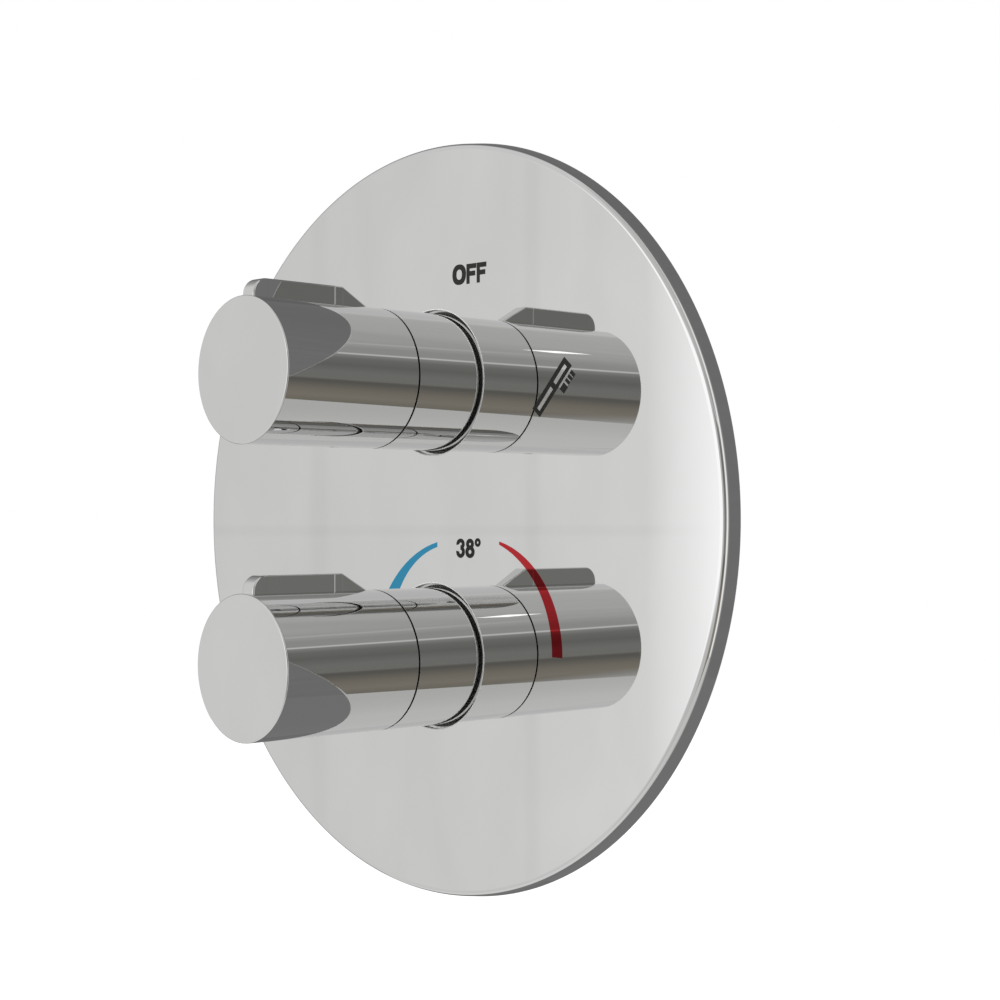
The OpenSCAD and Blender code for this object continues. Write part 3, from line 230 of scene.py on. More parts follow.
def grid_triangles(rows: int, columns: int, wrap_rows: bool, wrap_columns: bool) -> Array:
    """Numbers of the two triangles in each cell of a grid, its points counted row by row."""
    i = np.arange(rows if wrap_rows else rows - 1)[:, None]
    j = np.arange(columns if wrap_columns else columns - 1)[None, :]
    i2, j2 = (i + 1) % rows, (j + 1) % columns
    a, b, c, d = (np.broadcast_to(v, (i.size, j.size)).ravel() for v in (
        i * columns + j, i * columns + j2, i2 * columns + j2, i2 * columns + j))
    return np.vstack([np.column_stack([a, b, c]), np.column_stack([a, c, d])])


def unit(vectors: Array) -> Array:
    """Vectors over their lengths."""
    return vectors / np.maximum(np.linalg.norm(vectors, axis=-1, keepdims=True), TINY)


def rounded(corners: Sequence[tuple[float, float, float]], steps: int = 6, lead: float = 0.06) -> Array:
    """Rounds the corners of an outline.

    For a corner whose two sides open by an angle, the tangent points lie fillet / tan(angle / 2) along each side.
    The arc between them turns in equal steps about the fillet's centre, which lies fillet / sin(angle / 2) along
    the bisector. A further point follows each end of the arc, so that the flat beside it keeps a flat shading.

    Args:
        corners: (first coordinate, second coordinate, fillet) of each corner, in order.
        steps: steps of each arc.
        lead: distance of the further points from the arc.

    Returns:
        The dense outline, points by 2.
    """
    given = np.asarray(corners, float)
    place, fillet = given[:, :2], given[:, 2:3]
    back, ahead = unit(np.roll(place, 1, 0) - place), unit(np.roll(place, -1, 0) - place)
    half = np.arccos(np.clip((back * ahead).sum(1, keepdims=True), -1.0, 1.0)) / 2
    half = np.clip(half, SHARPEST, math.pi / 2 - NEAR)
    run = fillet / np.tan(half)
    centre = place + unit(back + ahead) * fillet / np.sin(half)
    turn = (math.pi - 2 * half)[:, None, :]
    share = np.linspace(0.0, 1.0, steps + 1)[None, :, None]
    start, end = (place + back * run - centre)[:, None], (place + ahead * run - centre)[:, None]
    arc = centre[:, None] + (np.sin((1 - share) * turn) * start + np.sin(share * turn) * end) / np.sin(turn)
    arc = np.where(fillet[:, None] > 0, arc, place[:, None])
    extra = np.where(fillet > 0, lead, 0.0)
    before, after = (place + back * (run + extra))[:, None], (place + ahead * (run + extra))[:, None]
    return np.concatenate([before, arc, after], axis=1).reshape(-1, 2)


def turns(count: int) -> Array:
    """Evenly spaced angles round a full turn, in radians."""
    return np.arange(count) * 2 * math.pi / count


def lathe(profile: Array, angles: Array, closed: bool = True) -> Surface:
    """Turns a profile about an axis that runs out of the wall.

    A profile point (depth, radius) at angle a goes to x = radius cos a, y = -depth, z = radius sin a.

    Args:
        profile: points by 2 array of depth and radius.
        angles: angles round the axis, in radians.
        closed: joins the profile's last point to its first.

    Returns:
        The turned surface.
    """
    depth, radius = profile[:, :1], profile[:, 1:]
    points = np.stack([radius * np.cos(angles), -depth + 0 * angles, radius * np.sin(angles)], axis=-1)
    return Surface.grid(points, wrap_rows=closed, wrap_columns=True)


def ray_ends(centre: float, rim: float, angles: Array) -> Array:
    """Where rays from a point above a circle's centre leave the circle's upper half.

    A ray at angle a ends at the nearer of the rim, at a distance -h sin a + sqrt(rim^2 - h^2 cos^2 a) for a point h
    above the centre, and the level line through the centre, at h / -sin a.

    Args:
        centre: height of the point over the circle's centre.
        rim: radius of the circle.
        angles: angles of the rays.

    Returns:
        The (x, height) ends, points by 2.
    """
    sine, cosine = np.sin(angles), np.cos(angles)
    to_rim = -centre * sine + np.sqrt(rim**2 - (centre * cosine) ** 2)
    to_level = np.where(sine < -TINY, centre / np.maximum(-sine, TINY), np.inf)
    reach = np.minimum(to_rim, to_level)
    return np.column_stack([reach * cosine, centre + reach * sine])


def plate_half(depth: float, centre: float, hole: float, angles: Array, ends: Array) -> Surface:
    """The upper half of a round plane with a round hole above its centre.

    From the hole's edge at each angle a straight line of points leads to an end, on the rim or on the level line.

    Args:
        depth: distance of the plane from the wall.
        centre: height of the hole's centre.
        hole: radius of the hole.
        angles: angles of the lines' starts on the hole's edge.
        ends: (x, height) of the lines' ends.

    Returns:
        The plane's upper half.
    """
    starts = np.column_stack([hole * np.cos(angles), centre + hole * np.sin(angles)])
    share = np.array(STRIP_SHARES)[:, None, None]
    flat = starts + share * (ends - starts)
    return Surface.grid(np.stack([flat[..., 0], np.full(flat.shape[:2], -depth), flat[..., 1]], axis=-1),
                        wrap_columns=True)


def tiles(across: Sequence[float], up: Sequence[float], rows: Sequence[str], foot: float, top: float) -> Surface:
    """A flat patch made of the filled cells of a grid of rectangles.

    Each filled cell gets a foot and a top, and a wall on each side where the cell beyond is empty.

    Args:
        across: x of the lines between the columns.
        up: height of the lines between the rows, the lowest first.
        rows: one text for each row, the lowest first, with # for a filled cell.
        foot: depth of the patch's foot.
        top: depth of its top.

    Returns:
        The closed patch.
    """
    filled = np.array([[cell == "#" for cell in row] for row in rows])
    padded = np.pad(filled, 1)
    x, z = np.meshgrid(across, up)
    points = np.stack([np.stack([x, np.full_like(x, -depth), z], axis=-1) for depth in (foot, top)])
    number = np.arange(2 * x.size).reshape(2, *x.shape)
    row, column = np.nonzero(filled)
    quads = [np.stack([number[level, row + i, column + j] for i, j in ((0, 0), (0, 1), (1, 1), (1, 0))], axis=1)
             for level in (0, 1)]
    for step, start, end in (((-1, 0), (0, 0), (0, 1)), ((1, 0), (1, 0), (1, 1)),
                             ((0, -1), (0, 0), (1, 0)), ((0, 1), (0, 1), (1, 1))):
        bare = ~padded[row + 1 + step[0], column + 1 + step[1]]
        i, j = row[bare], column[bare]
        quads.append(np.stack([number[0, i + start[0], j + start[1]], number[0, i + end[0], j + end[1]],
                               number[1, i + end[0], j + end[1]], number[1, i + start[0], j + start[1]]], axis=1))
    whole = np.vstack(quads)
    return Surface(points.reshape(-1, 3), np.vstack([whole[:, :3], whole[:, [0, 2, 3]]]))


def band(first: Array, second: Array, closed: bool = False) -> Surface:
    """A thin raised patch between two edges that have equally many (x, height, low, high) points.

    At each pair of points the section is the rectangle low first, high first, high second, low second.

    Args:
        first: edge as points by 4 array, the last two columns being the depths of its foot and top.
        second: the other edge.
        closed: joins the last pair of points to the first.

    Returns:
        The closed patch.
    """
    corner = [np.column_stack([edge[:, 0], -edge[:, level], edge[:, 1]])
              for edge, level in ((first, 2), (first, 3), (second, 3), (second, 2))]
    section = np.stack(corner, axis=1)
    return Surface.grid(section, wrap_rows=True, wrap_columns=True) if closed else Surface.tube(section)


def corners(box: tuple[Sequence[float], Sequence[float]]) -> list[list[float]]:
    """Lowest and highest corner of a box as plain numbers."""
    return [[float(value) for value in corner] for corner in box]


# Finishes


class Canvas:
    """Adds nodes to a node tree and links them."""

    def __init__(self, tree: bpy.types.NodeTree) -> None:
        """Keeps the tree that is worked on."""
        self.tree = tree

    def node(self, kind: str, inputs: dict[str | int, object] | None = None, **settings: object) -> bpy.types.Node:
        """Adds a node.

        Args:
            kind: Blender's name of the node type.
            inputs: value or socket for each named or numbered input.
            settings: values of the node's own properties.

        Returns:
            The node.
        """
        made = self.tree.nodes.new(kind)
        for key, value in settings.items():
            setattr(made, key, value)
        for key, value in (inputs or {}).items():
            self.put(made.inputs[key], value)
        return made

    def put(self, target: Socket, value: object) -> None:
        """Links a socket to an input, or sets the input's value."""
        if isinstance(value, bpy.types.NodeSocket):
            self.tree.links.new(value, target)
        elif isinstance(value, tuple) and len(value) == 3 and target.type == "RGBA":
            target.default_value = (*value, 1.0)
        else:
            target.default_value = value

    def math(self, operation: str, *values: object) -> Socket:
        """Adds a Math node and returns its result."""
        return self.node("ShaderNodeMath", dict(enumerate(values)), operation=operation).outputs[0]

    def share(self, value: Socket, low: float, high: float) -> Socket:
        """How far a value has gone from low to high, between 0 and 1."""
        return self.node("ShaderNodeMapRange", {"Value": value, "From Min": low, "From Max": high}).outputs[0]

    def window(self, value: Socket, limits: Sequence[float]) -> Socket:
        """A mask that rises between the first two limits and falls between the last two."""
        low, risen, falling, high = limits
        return self.math("MINIMUM", self.share(value, low, risen), self.share(value, high, falling))

    def ramp(self, share: Socket, stops: Sequence[tuple[float, Colour]]) -> Socket:
        """Adds a colour ramp.

        Args:
            share: the input, from 0 to 1.
            stops: place and colour of each stop.

        Returns:
            The ramp's colour.
        """
        made = self.node("ShaderNodeValToRGB", {"Fac": share})
        ramp = made.color_ramp
        ramp.interpolation = "LINEAR"
        for _ in range(len(stops) - 2):
            ramp.elements.new(0.5)
        for element, (place, _) in zip(ramp.elements, stops):
            element.position = place
        for element, (_, colour) in zip(ramp.elements, stops):
            element.color = (*colour, 1.0)
        return made.outputs["Color"]

    def mix(self, share: object, first: object, second: object) -> Socket:
        """Mixes two colours and returns the result."""
        return self.node(
            "ShaderNodeMix", {0: share, 6: first, 7: second}, data_type="RGBA", clamp_factor=True
        ).outputs[2]

    def place(self) -> Socket:
        """The point on the object, in metres."""
        return self.node("ShaderNodeTexCoord").outputs["Object"]


class Effects:
    """Node groups that several finishes share, each built once."""

    made: dict[str, bpy.types.NodeTree] = {}
    fine_times = 14.0
    cloud_share = 0.7
    ring_noise_scale = 60.0
    grain_share = 0.6
    hollow_share = 0.8
    hollow_times = 0.28

    @classmethod
    def get(cls, name: str) -> bpy.types.NodeTree:
        """Returns the named group and builds it at its first use."""
        if name not in cls.made:
            cls.made[name] = {"mottle": cls.mottle, "rings": cls.rings, "grains": cls.grains}[name]()
        return cls.made[name]

    @staticmethod
    def shell(name: str, inputs: dict[str, object],
              outputs: dict[str, str]) -> tuple[Canvas, dict[str, Socket], bpy.types.Node]:
        """Starts a group.

        Args:
            name: the group's name.
            inputs: default of each input, whose type gives the socket's.
            outputs: socket type of each output.

        Returns:
            A canvas on the group, its input sockets by name and its output node.
        """
        tree = bpy.data.node_groups.new(name, "ShaderNodeTree")
        for key, value in inputs.items():
            kind = "NodeSocketFloat"
            if isinstance(value, tuple):
                kind = "NodeSocketVector" if key in ("Place", "Axis") else "NodeSocketColor"
            socket = tree.interface.new_socket(key, in_out="INPUT", socket_type=kind)
            socket.default_value = (*value, 1.0) if kind == "NodeSocketColor" else value
        for key, kind in outputs.items():
            tree.interface.new_socket(key, in_out="OUTPUT", socket_type=kind)
        canvas = Canvas(tree)
        source = canvas.node("NodeGroupInput")
        return canvas, {key: source.outputs[key] for key in inputs}, canvas.node("NodeGroupOutput")

    @classmethod
    def mottle(cls) -> bpy.types.NodeTree:
        """Cloudy change of colour, and of roughness with a finer grain, which is also given as a height."""
        canvas, given, out = cls.shell(
            "mottle",
            {"Place": (0.0, 0.0, 0.0), "Scale": 40.0, "Colour": (0.8, 0.8, 0.8), "Tint": (0.7, 0.7, 0.7),
             "Roughness": 0.1, "Spread": 0.02},
            {"Colour": "NodeSocketColor", "Roughness": "NodeSocketFloat", "Height": "NodeSocketFloat"},
        )
        cloud = canvas.node("ShaderNodeTexNoise", {
            "Vector": given["Place"], "Scale": given["Scale"], "Detail": 4.0})
        fine_scale = canvas.math("MULTIPLY", given["Scale"], cls.fine_times)
        fine = canvas.node("ShaderNodeTexNoise", {"Vector": given["Place"], "Scale": fine_scale, "Detail": 2.0})
        both = canvas.math("ADD", canvas.math("MULTIPLY", cloud.outputs["Fac"], cls.cloud_share),
                           canvas.math("MULTIPLY", fine.outputs["Fac"], 1 - cls.cloud_share))
        canvas.put(out.inputs["Colour"], canvas.mix(cloud.outputs["Fac"], given["Colour"], given["Tint"]))
        rough = canvas.math("MULTIPLY_ADD", canvas.math("SUBTRACT", both, 0.5), given["Spread"], given["Roughness"])
        canvas.put(out.inputs["Roughness"], canvas.math("MAXIMUM", rough, 0.0))
        canvas.put(out.inputs["Height"], both)
        return canvas.tree

    @classmethod
    def rings(cls) -> bpy.types.NodeTree:
        """Rings that a lathe leaves: a wave along the axis, bent a little by noise."""
        canvas, given, out = cls.shell(
            "turning_rings",
            {"Place": (0.0, 0.0, 0.0), "Axis": (0.0, 1.0, 0.0), "Pitch": 0.00035},
            {"Height": "NodeSocketFloat"},
        )
        along = canvas.node("ShaderNodeVectorMath", {0: given["Place"], 1: given["Axis"]}, operation="DOT_PRODUCT")
        noise = canvas.node("ShaderNodeTexNoise", {
            "Vector": given["Place"], "Scale": cls.ring_noise_scale, "Detail": 2.0})
        phase = canvas.math("DIVIDE", along.outputs["Value"], given["Pitch"])
        phase = canvas.math("ADD", phase, noise.outputs["Fac"])
        wave = canvas.math("SINE", canvas.math("MULTIPLY", phase, 2 * math.pi))
        canvas.put(out.inputs["Height"], canvas.math("MULTIPLY_ADD", wave, 0.5, 0.5))
        return canvas.tree

    @classmethod
    def grains(cls) -> bpy.types.NodeTree:
        """Grains of a sand mould: small cells and wider hollows as height."""
        canvas, given, out = cls.shell(
            "sand_grains",
            {"Place": (0.0, 0.0, 0.0), "Scale": 900.0},
            {"Height": "NodeSocketFloat"},
        )
        cells = canvas.node("ShaderNodeTexVoronoi", {"Vector": given["Place"], "Scale": given["Scale"]})
        wide_scale = canvas.math("MULTIPLY", given["Scale"], cls.hollow_times)
        wide = canvas.node("ShaderNodeTexNoise", {"Vector": given["Place"], "Scale": wide_scale, "Detail": 3.0})
        height = canvas.math("ADD", canvas.math("MULTIPLY", cells.outputs["Distance"], cls.grain_share),
                             canvas.math("MULTIPLY", wide.outputs["Fac"], cls.hollow_share))
        canvas.put(out.inputs["Height"], height)
        return canvas.tree


@dataclass(frozen=True)
class Finish:
    """A surface finish: a Principled shader whose colour, roughness and bump come from the shared effects."""

    name: str
    colour: Colour
    tint: Colour
    roughness: float
    spread: float
    cloud_scale: float = 40.0
    metallic: float = 0.0
    specular: float = 0.5
    coat: float = 0.0
    sheen: float = 0.0
    translucent: float = 0.0
    bump_height: float = 0.0
    axis: Axis | None = None
    ring_pitch: float = 0.00035
    grain_scale: float = 0.0

    @staticmethod
    def group(canvas: Canvas, effect: str, inputs: dict[str, object]) -> bpy.types.Node:
        """Places a shared effect in the material, then fills its inputs."""
        made = canvas.tree.nodes.new("ShaderNodeGroup")
        made.node_tree = Effects.get(effect)
        for key, value in inputs.items():
            canvas.put(made.inputs[key], value)
        return made

    def height(self, canvas: Canvas, place: Socket, cloudy: Socket) -> Socket:
        """The height that feeds the bump: lathe rings, sand grains or the clouds of the colour."""
        if self.axis is not None:
            return self.group(canvas, "rings", {
                "Place": place, "Axis": self.axis.value, "Pitch": self.ring_pitch}).outputs["Height"]
        if self.grain_scale > 0:
            return self.group(canvas, "grains", {"Place": place, "Scale": self.grain_scale}).outputs["Height"]
        return cloudy

    def build(self) -> bpy.types.Material:
        """Makes the material.

        Returns:
            The material, with its colour, roughness and normal from nodes on object coordinates.
        """
        material = bpy.data.materials.new(self.name)
        material.use_nodes = True
        canvas = Canvas(material.node_tree)
        shader = material.node_tree.nodes["Principled BSDF"]
        place = canvas.place()
        clouds = self.group(canvas, "mottle", {
            "Place": place, "Scale": self.cloud_scale, "Colour": self.colour, "Tint": self.tint,
            "Roughness": self.roughness, "Spread": self.spread})
        canvas.put(shader.inputs["Base Color"], clouds.outputs["Colour"])
        canvas.put(shader.inputs["Roughness"], clouds.outputs["Roughness"])
        shader.inputs["Metallic"].default_value = self.metallic
        shader.inputs["Specular IOR Level"].default_value = self.specular
        shader.inputs["Coat Weight"].default_value = self.coat
        shader.inputs["Sheen Weight"].default_value = self.sheen
        shader.inputs["Subsurface Weight"].default_value = self.translucent
        if self.bump_height > 0:
            bump = canvas.node("ShaderNodeBump", {
                "Strength": 1.0, "Distance": self.bump_height,
                "Height": self.height(canvas, place, clouds.outputs["Height"])})
            canvas.put(shader.inputs["Normal"], bump.outputs["Normal"])
        return material


CHROME = Finish("polished_chrome", (0.765, 0.765, 0.76), (0.745, 0.745, 0.745), 0.014, 0.02, 9.0, metallic=1.0)
SATIN_LEDGE = Finish("satin_ledge", (0.88, 0.88, 0.87), (0.83, 0.83, 0.82), 0.3, 0.1, 200.0, metallic=1.0,
                     bump_height=2e-6)
SATIN_LIP = Finish("satin_lip", (0.9, 0.9, 0.89), (0.86, 0.86, 0.85), 0.35, 0.1, 200.0, metallic=0.2,
                   bump_height=2e-6)
# Near-black finish of the joint rings: painted shade standing for the shadow in the gap between sleeve and handle.
JOINT_PAINTED_SHADE = Finish("painted_joint_shade", (0.008, 0.008, 0.008), (0.012, 0.012, 0.012), 0.6, 0.1, 200.0, specular=0.1,
                   bump_height=2e-6)
BLACK_INK = Finish("black_ink", (0.02, 0.02, 0.018), (0.027, 0.027, 0.025), 0.4, 0.1, 300.0, specular=0.15,
                   bump_height=2e-6)
PALE_INK = Finish("pale_ink", (0.93, 0.93, 0.92), (0.88, 0.88, 0.87), 0.05, 0.03, 200.0, metallic=0.75)
BLUE_INK = Finish("blue_ink", (0.046, 0.305, 0.508), (0.05, 0.315, 0.52), 0.03, 0.03, 200.0, metallic=1.0)
RED_INK = Finish("red_ink", (0.54, 0.037, 0.045), (0.51, 0.034, 0.042), 0.03, 0.03, 200.0, metallic=1.0)

FINISHES: dict[Slot, Finish] = {
    Slot.CHROME: CHROME,
    Slot.RUBBER: Finish("black_rubber", (0.075, 0.074, 0.071), (0.1, 0.099, 0.096), 0.5, 0.2, 160.0,
                        bump_height=4e-6),
    Slot.FOAM: Finish("closed_cell_foam", (0.09, 0.09, 0.095), (0.15, 0.15, 0.155), 0.85, 0.1, 500.0,
                      sheen=0.15, bump_height=6e-5, grain_scale=1500.0),
    Slot.CAST_BRASS: Finish("cast_brass", (0.62, 0.43, 0.19), (0.5, 0.33, 0.15), 0.42, 0.25, 90.0,
                            metallic=1.0, bump_height=6e-5, grain_scale=900.0),
    Slot.TURNED_BRASS: Finish("turned_brass", (0.78, 0.57, 0.27), (0.68, 0.48, 0.22), 0.24, 0.12, 70.0,
                              metallic=1.0, bump_height=8e-6, axis=Axis.Y),
    Slot.ACETAL: Finish("white_acetal", (0.84, 0.83, 0.79), (0.78, 0.77, 0.73), 0.38, 0.12, 90.0,
                        translucent=0.08, bump_height=5e-6),
    Slot.BLUE_GREY: Finish("blue_grey_acetal", (0.34, 0.43, 0.53), (0.3, 0.38, 0.48), 0.4, 0.12, 90.0,
                           translucent=0.05, bump_height=5e-6),
    Slot.CERAMIC: Finish("lapped_ceramic", (0.87, 0.85, 0.8), (0.82, 0.8, 0.75), 0.16, 0.08, 240.0,
                         coat=0.3, bump_height=2e-6),
    Slot.STAINLESS: Finish("drawn_stainless", (0.62, 0.62, 0.61), (0.54, 0.54, 0.54), 0.26, 0.14, 120.0,
                           metallic=1.0, bump_height=4e-6, axis=Axis.X, ring_pitch=0.0002),
    Slot.DARK_STEEL: Finish("black_oxide_steel", (0.045, 0.045, 0.05), (0.08, 0.075, 0.075), 0.38, 0.2, 300.0,
                            metallic=0.9, bump_height=4e-6),
    Slot.COPPER: Finish("drawn_copper", (0.78, 0.36, 0.22), (0.62, 0.27, 0.17), 0.24, 0.14, 140.0,
                        metallic=1.0, bump_height=5e-6, axis=Axis.Y),
}


class Paintshop:
    """Builds each finish once and puts it on pieces."""

    def __init__(self) -> None:
        """Starts with no finish built."""
        self.built: dict[str, bpy.types.Material] = {}

    def material(self, finish: Finish) -> bpy.types.Material:
        """The finish's material, built at its first use."""
        if finish.name not in self.built:
            self.built[finish.name] = finish.build()
        return self.built[finish.name]

    def coat(self, piece: bpy.types.Object, finish: Finish) -> None:
        """Gives a piece one finish all over."""
        slots = piece.data.materials
        if len(slots) == 0:
            slots.append(self.material(finish))
        for number in range(len(slots)):
            slots[number] = self.material(finish)


# Sub-assemblies


@dataclass
class Assembly:
    """A group of pieces that are made, finished and hung on their bodies together."""

    shop: Paintshop

    def add(self, surface: Surface, name: str, body: Body | None, slot: Slot | None = None,
            finish: Finish | None = None, replaces: Sequence[str] = ()) -> bpy.types.Object:
        """Turns a surface into a finished piece.

        Args:
            surface: the piece's surface.
            name: the piece's name.
            body: the body that it rides on, or None for a piece left on no body.
            slot: the record's slot that its finish comes from.
            finish: a finish of its own, where it isn't the slot's.
            replaces: CAD nodes that it stands for.

        Returns:
            The piece.
        """
        piece = surface.to_object(name)
        self.shop.coat(piece, finish or FINISHES[slot])
        if body is not None:
            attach(piece, body.value)
        if replaces:
            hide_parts(*replaces)
        LOG.info("%s: %d triangles", name, len(piece.data.polygons))
        return piece


@dataclass
class Faceplate(Assembly):
    """Round polished plate with a rolled rim and, round each of two openings, a thin lip, a ledge and a seal.

    Each of the rim's bends is given as its corner's depth, the corner's distance beyond the radius, and the fillet.
    """

    radius: float = 109.0
    depth: float = 5.5
    skin: float = 2.0
    rim_wall: float = 2.6
    draft: float = 0.9
    rim_bends: tuple[Place, ...] = ((5.5, -1.23, 3.0), (5.25, -0.24, 1.1), (4.18, 0.28, 3.5))
    front_rim_w: float = 4.0
    back_rim_w: float = 2.0
    foot_round: float = 0.25
    hollow_round: float = 0.4
    pitch: float = 80.0
    opening: float = 21.3
    opening_round: float = 0.12
    mouth_w: float = 0.3
    lip_w: float = 0.24
    lip_rise: float = 0.03
    lip_sunk: float = 0.25
    lip_round: float = 0.02
    ledge_bore: float = 20.75
    ledge_depth: float = 2.4
    ledge_t: float = 0.8
    ledge_sunk: float = 0.02
    ledge_rise: float = 0.26
    ledge_rounds: tuple[float, float] = (0.05, 0.04)
    collar_wall: float = 1.6
    collar_rounds: tuple[float, float] = (0.1, 0.2)
    seal_bore: float = 20.05
    seal_w: float = 0.65
    seal_rounds: Place = (0.2, 0.1, 0.3)
    seal_rays: int = 160
    flange_w: float = 2.5
    flange_t: float = 1.6
    gap: float = 0.05
    rays: int = 256

    @property
    def groove_foot(self) -> float:
        """Depth of the ledge and of the seal's front, at the foot of the groove."""
        return self.depth - self.ledge_depth

    def plate(self) -> Surface:
        """The plate: its front, the rolled rim, the hollow behind it and a collar behind each opening.

        The lines of the front plane run from the opening to the rim, and those of the plane behind it end at the
        same places brought in to its own rim, so that every turned part meets both planes point by point.
        """
        half_pitch = self.pitch / 2
        foot = self.radius + self.draft
        inner = foot - self.rim_wall - self.draft
        back = self.depth - self.skin
        front_rim, back_rim = self.radius - self.front_rim_w, inner - self.back_rim_w
        level = math.atan2(-half_pitch, front_rim) % (2 * math.pi)
        angles = np.unique(np.concatenate([turns(self.rays), [level, 3 * math.pi - level]]).round(9))
        ends = ray_ends(half_pitch, front_rim, angles)
        on_rim = ends[np.abs(np.hypot(*ends.T) - front_rim) < NEAR]
        above = np.arctan2(on_rim[:, 1], on_rim[:, 0])
        rim_turns = np.unique(np.concatenate([above, -above]).round(9) % round(2 * math.pi, 9))

        side = rounded([
            (self.depth, front_rim, 0),
            *((depth, self.radius + beyond, fillet) for depth, beyond, fillet in self.rim_bends),
            (0, foot, self.foot_round), (0, inner, self.foot_round), (back, inner, self.hollow_round),
            (back, back_rim, 0)], steps=8)
        mouth, collar = self.opening + self.mouth_w, self.opening + self.collar_wall
        end = self.groove_foot - self.ledge_t
        wall = rounded([
            (self.depth, mouth, 0), (self.depth, self.opening, self.opening_round),
            (end, self.opening, self.collar_rounds[0]), (end, collar, self.collar_rounds[1]), (back, collar, 0)],
            lead=0.03)
        upper = Surface.joined([
            plate_half(self.depth, half_pitch, mouth, angles, ends),
            plate_half(back, half_pitch, collar, angles, ends * back_rim / front_rim),
            lathe(wall, angles, closed=False).raised(half_pitch)])
        return Surface.joined([upper, upper.mirrored_down(), lathe(side, rim_turns, closed=False)])

    def lip(self) -> Surface:
        """The thin satin lip round an opening's edge."""
        inner, outer = self.opening - self.ledge_sunk, self.opening + self.lip_w
        top, foot = self.depth + self.lip_rise, self.depth - self.lip_sunk
        return lathe(rounded([
            (foot, inner, 0), (top, inner, self.lip_round), (top, outer, self.lip_round), (foot, outer, 0)],
            steps=3, lead=0.01), turns(self.rays))

    def ledge(self) -> Surface:
        """The ring-shaped ledge at a groove's foot, rising outward and sunk a little into the opening's wall."""
        outside, end = self.opening + self.ledge_sunk, self.groove_foot - self.ledge_t
        return lathe(rounded([
            (end, self.ledge_bore, self.ledge_rounds[0]), (self.groove_foot, self.ledge_bore, self.ledge_rounds[1]),
            (self.groove_foot + self.ledge_rise, outside, 0), (end, outside, 0)], lead=0.02), turns(self.rays))

    def seal(self) -> Surface:
        """A rubber seal: a sleeve whose front lies level with the ledge, and a flange behind the ledge."""
        flange = self.groove_foot - self.ledge_t - self.gap
        end, tip, edge = flange - self.flange_t, self.seal_bore + self.seal_w, self.ledge_bore + self.flange_w
        bore_round, tip_round, edge_round = self.seal_rounds
        return lathe(rounded([
            (end, self.seal_bore, bore_round), (self.groove_foot, self.seal_bore, tip_round),
            (self.groove_foot, tip, tip_round), (flange, tip, 0), (flange, edge, edge_round),
            (end, edge, edge_round)]), turns(self.seal_rays))

    def build(self) -> None:
        """Makes the plate and, at each opening, the lip, the ledge and the seal."""
        self.add(self.plate(), "faceplate_skin", Body.VALVE, Slot.CHROME, replaces=["faceplate"])
        for name, side in (("flow", 1), ("temp", -1)):
            height = side * self.pitch / 2
            for part, shape, slot, finish, node in (
                    ("opening_lip", self.lip(), Slot.CHROME, SATIN_LIP, "faceplate"),
                    ("opening_ledge", self.ledge(), Slot.CHROME, SATIN_LEDGE, "faceplate"),
                    ("wiper_seal", self.seal(), Slot.RUBBER, None, f"{name}_seal_ring")):
                self.add(shape.raised(height), f"{name}_{part}", Body.VALVE, slot, finish, [node])


